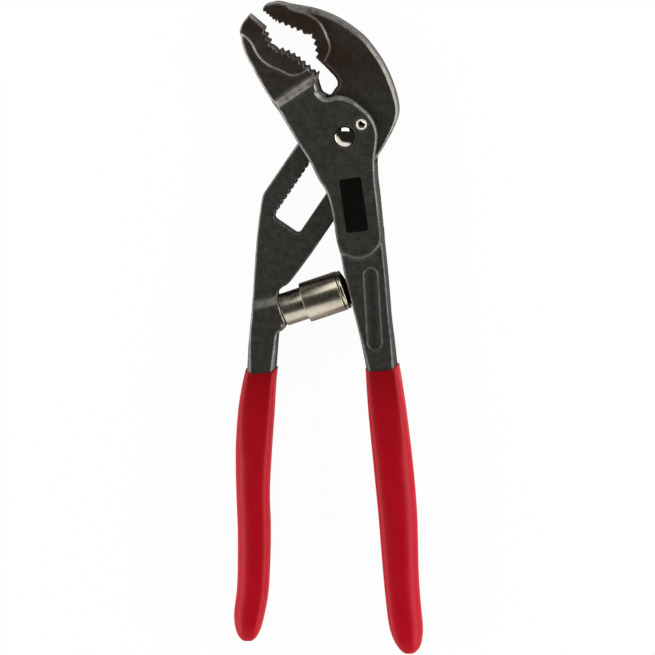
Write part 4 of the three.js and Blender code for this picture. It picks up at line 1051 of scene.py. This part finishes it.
# Strut tube.
# A thin drawn steel tube, bright nickel plated, whose spigot is pinned in the back lever's boss.
# Its mouth runs inside the wider sleeve.
TUBE_RADIUS = 6.25
TUBE_WALL = 1.05
TUBE_LENGTH = 15.0
TUBE_FLOOR = 1.5
SPIGOT_RADIUS = 3.5
SPIGOT_LENGTH = 4.6
TUBE_EDGE = 0.15

nickel = mottled_finish(
    "warm nickel plate", scale=120.0, dark=(0.36, 0.32, 0.24), light=(0.50, 0.46, 0.37),
    smooth=0.22, rough=0.30, bump=0.03, metallic=1.0)
tube_profile = rounded([
    (0, -SPIGOT_LENGTH), (SPIGOT_RADIUS, -SPIGOT_LENGTH), (SPIGOT_RADIUS, 0), (TUBE_RADIUS, 0),
    (TUBE_RADIUS, TUBE_LENGTH), (TUBE_RADIUS - TUBE_WALL, TUBE_LENGTH), (TUBE_RADIUS - TUBE_WALL, TUBE_FLOOR),
    (0, TUBE_FLOOR)], TUBE_EDGE)
add_piece("nickel_tube", *turned(tube_profile, STRUT_FOOT, STRUT_WAY), "back_lever", "nickel", nickel,
          "strut_tube", sharp=SHARP_ANGLE)

# Strut insides.
# Plain steel pieces hidden in the strut: cross pin, guide rod, wound spring, its seat and the cap's clip.
# The pin is pressed through the boss, the spring stands round the rod, and the clip holds the cap's stem.
repaint(machined, "strut_pin", "strut_rod", "strut_spring", "spring_seat", "cap_clip")

# Strut sleeve and ring.
# A wider drawn cup, nickel plated, that slides on the tube, with a flange ring behind its closed end.
# The cap's stem passes through both and holds them together.
SLEEVE_WALL = 1.15
SLEEVE_RADIUS = TUBE_RADIUS + CLEARANCE + SLEEVE_WALL
SLEEVE_START = 8.8
SLEEVE_END = 23.3
SLEEVE_FLOOR = 1.5
CAP_STEM_RADIUS = 3.0
RING_LENGTH = 1.3
RING_INSET = 0.25
RING_EDGE = 0.3
sleeve_bore, stem_bore = SLEEVE_RADIUS - SLEEVE_WALL, CAP_STEM_RADIUS + CLEARANCE
sleeve_middle = SLEEVE_RADIUS - SLEEVE_WALL / 2
floor_inside = SLEEVE_END - SLEEVE_FLOOR
sleeve_profile = rounded([
    (sleeve_middle, SLEEVE_START), (SLEEVE_RADIUS, SLEEVE_START), (SLEEVE_RADIUS, SLEEVE_END),
    (stem_bore, SLEEVE_END), (stem_bore, floor_inside), (sleeve_bore, floor_inside),
    (sleeve_bore, SLEEVE_START), (sleeve_middle, SLEEVE_START)], TUBE_EDGE)
add_piece("nickel_sleeve", *turned(sleeve_profile, STRUT_FOOT, STRUT_WAY), "strut_outer", "nickel", nickel,
          "strut_sleeve", sharp=SHARP_ANGLE)
ring_start = SLEEVE_END + CLEARANCE
ring_end = ring_start + RING_LENGTH
ring_shape = ring_profile(stem_bore, SLEEVE_RADIUS - RING_INSET, ring_start, ring_end, RING_EDGE)
add_piece("nickel_ring", *turned(ring_shape, STRUT_FOOT, STRUT_WAY), "strut_outer", "nickel", nickel,
          "strut_ring", sharp=SHARP_ANGLE)

# Strut cap.
# A black moulded plug on the strut's end, low domed, that bears on the front lever's inner edge.
# Its stem goes through the ring and the sleeve's floor, where the clip keeps it.
CAP_RADIUS = 6.2
CAP_DOME = 1.0
CLIP_LENGTH = 1.1
black_plastic = mottled_finish(
    "black moulded plastic", scale=260.0, dark=(0.004, 0.004, 0.0036), light=(0.008, 0.008, 0.007),
    smooth=0.45, rough=0.60, bump=0.10, metallic=0.0, sheen=0.2)
cap_start = ring_end + CLEARANCE
stem_start = floor_inside - CLEARANCE - CLIP_LENGTH
cap_profile = np.vstack([
    [(0, stem_start), (CAP_STEM_RADIUS, stem_start), (CAP_STEM_RADIUS, cap_start)],
    dome(CAP_RADIUS, cap_start, CAP_DOME)])
add_piece("bearing_cap", *turned(cap_profile, STRUT_FOOT, STRUT_WAY), "strut_outer", "black_plastic",
          black_plastic, "strut_cap", sharp=SHARP_ANGLE)
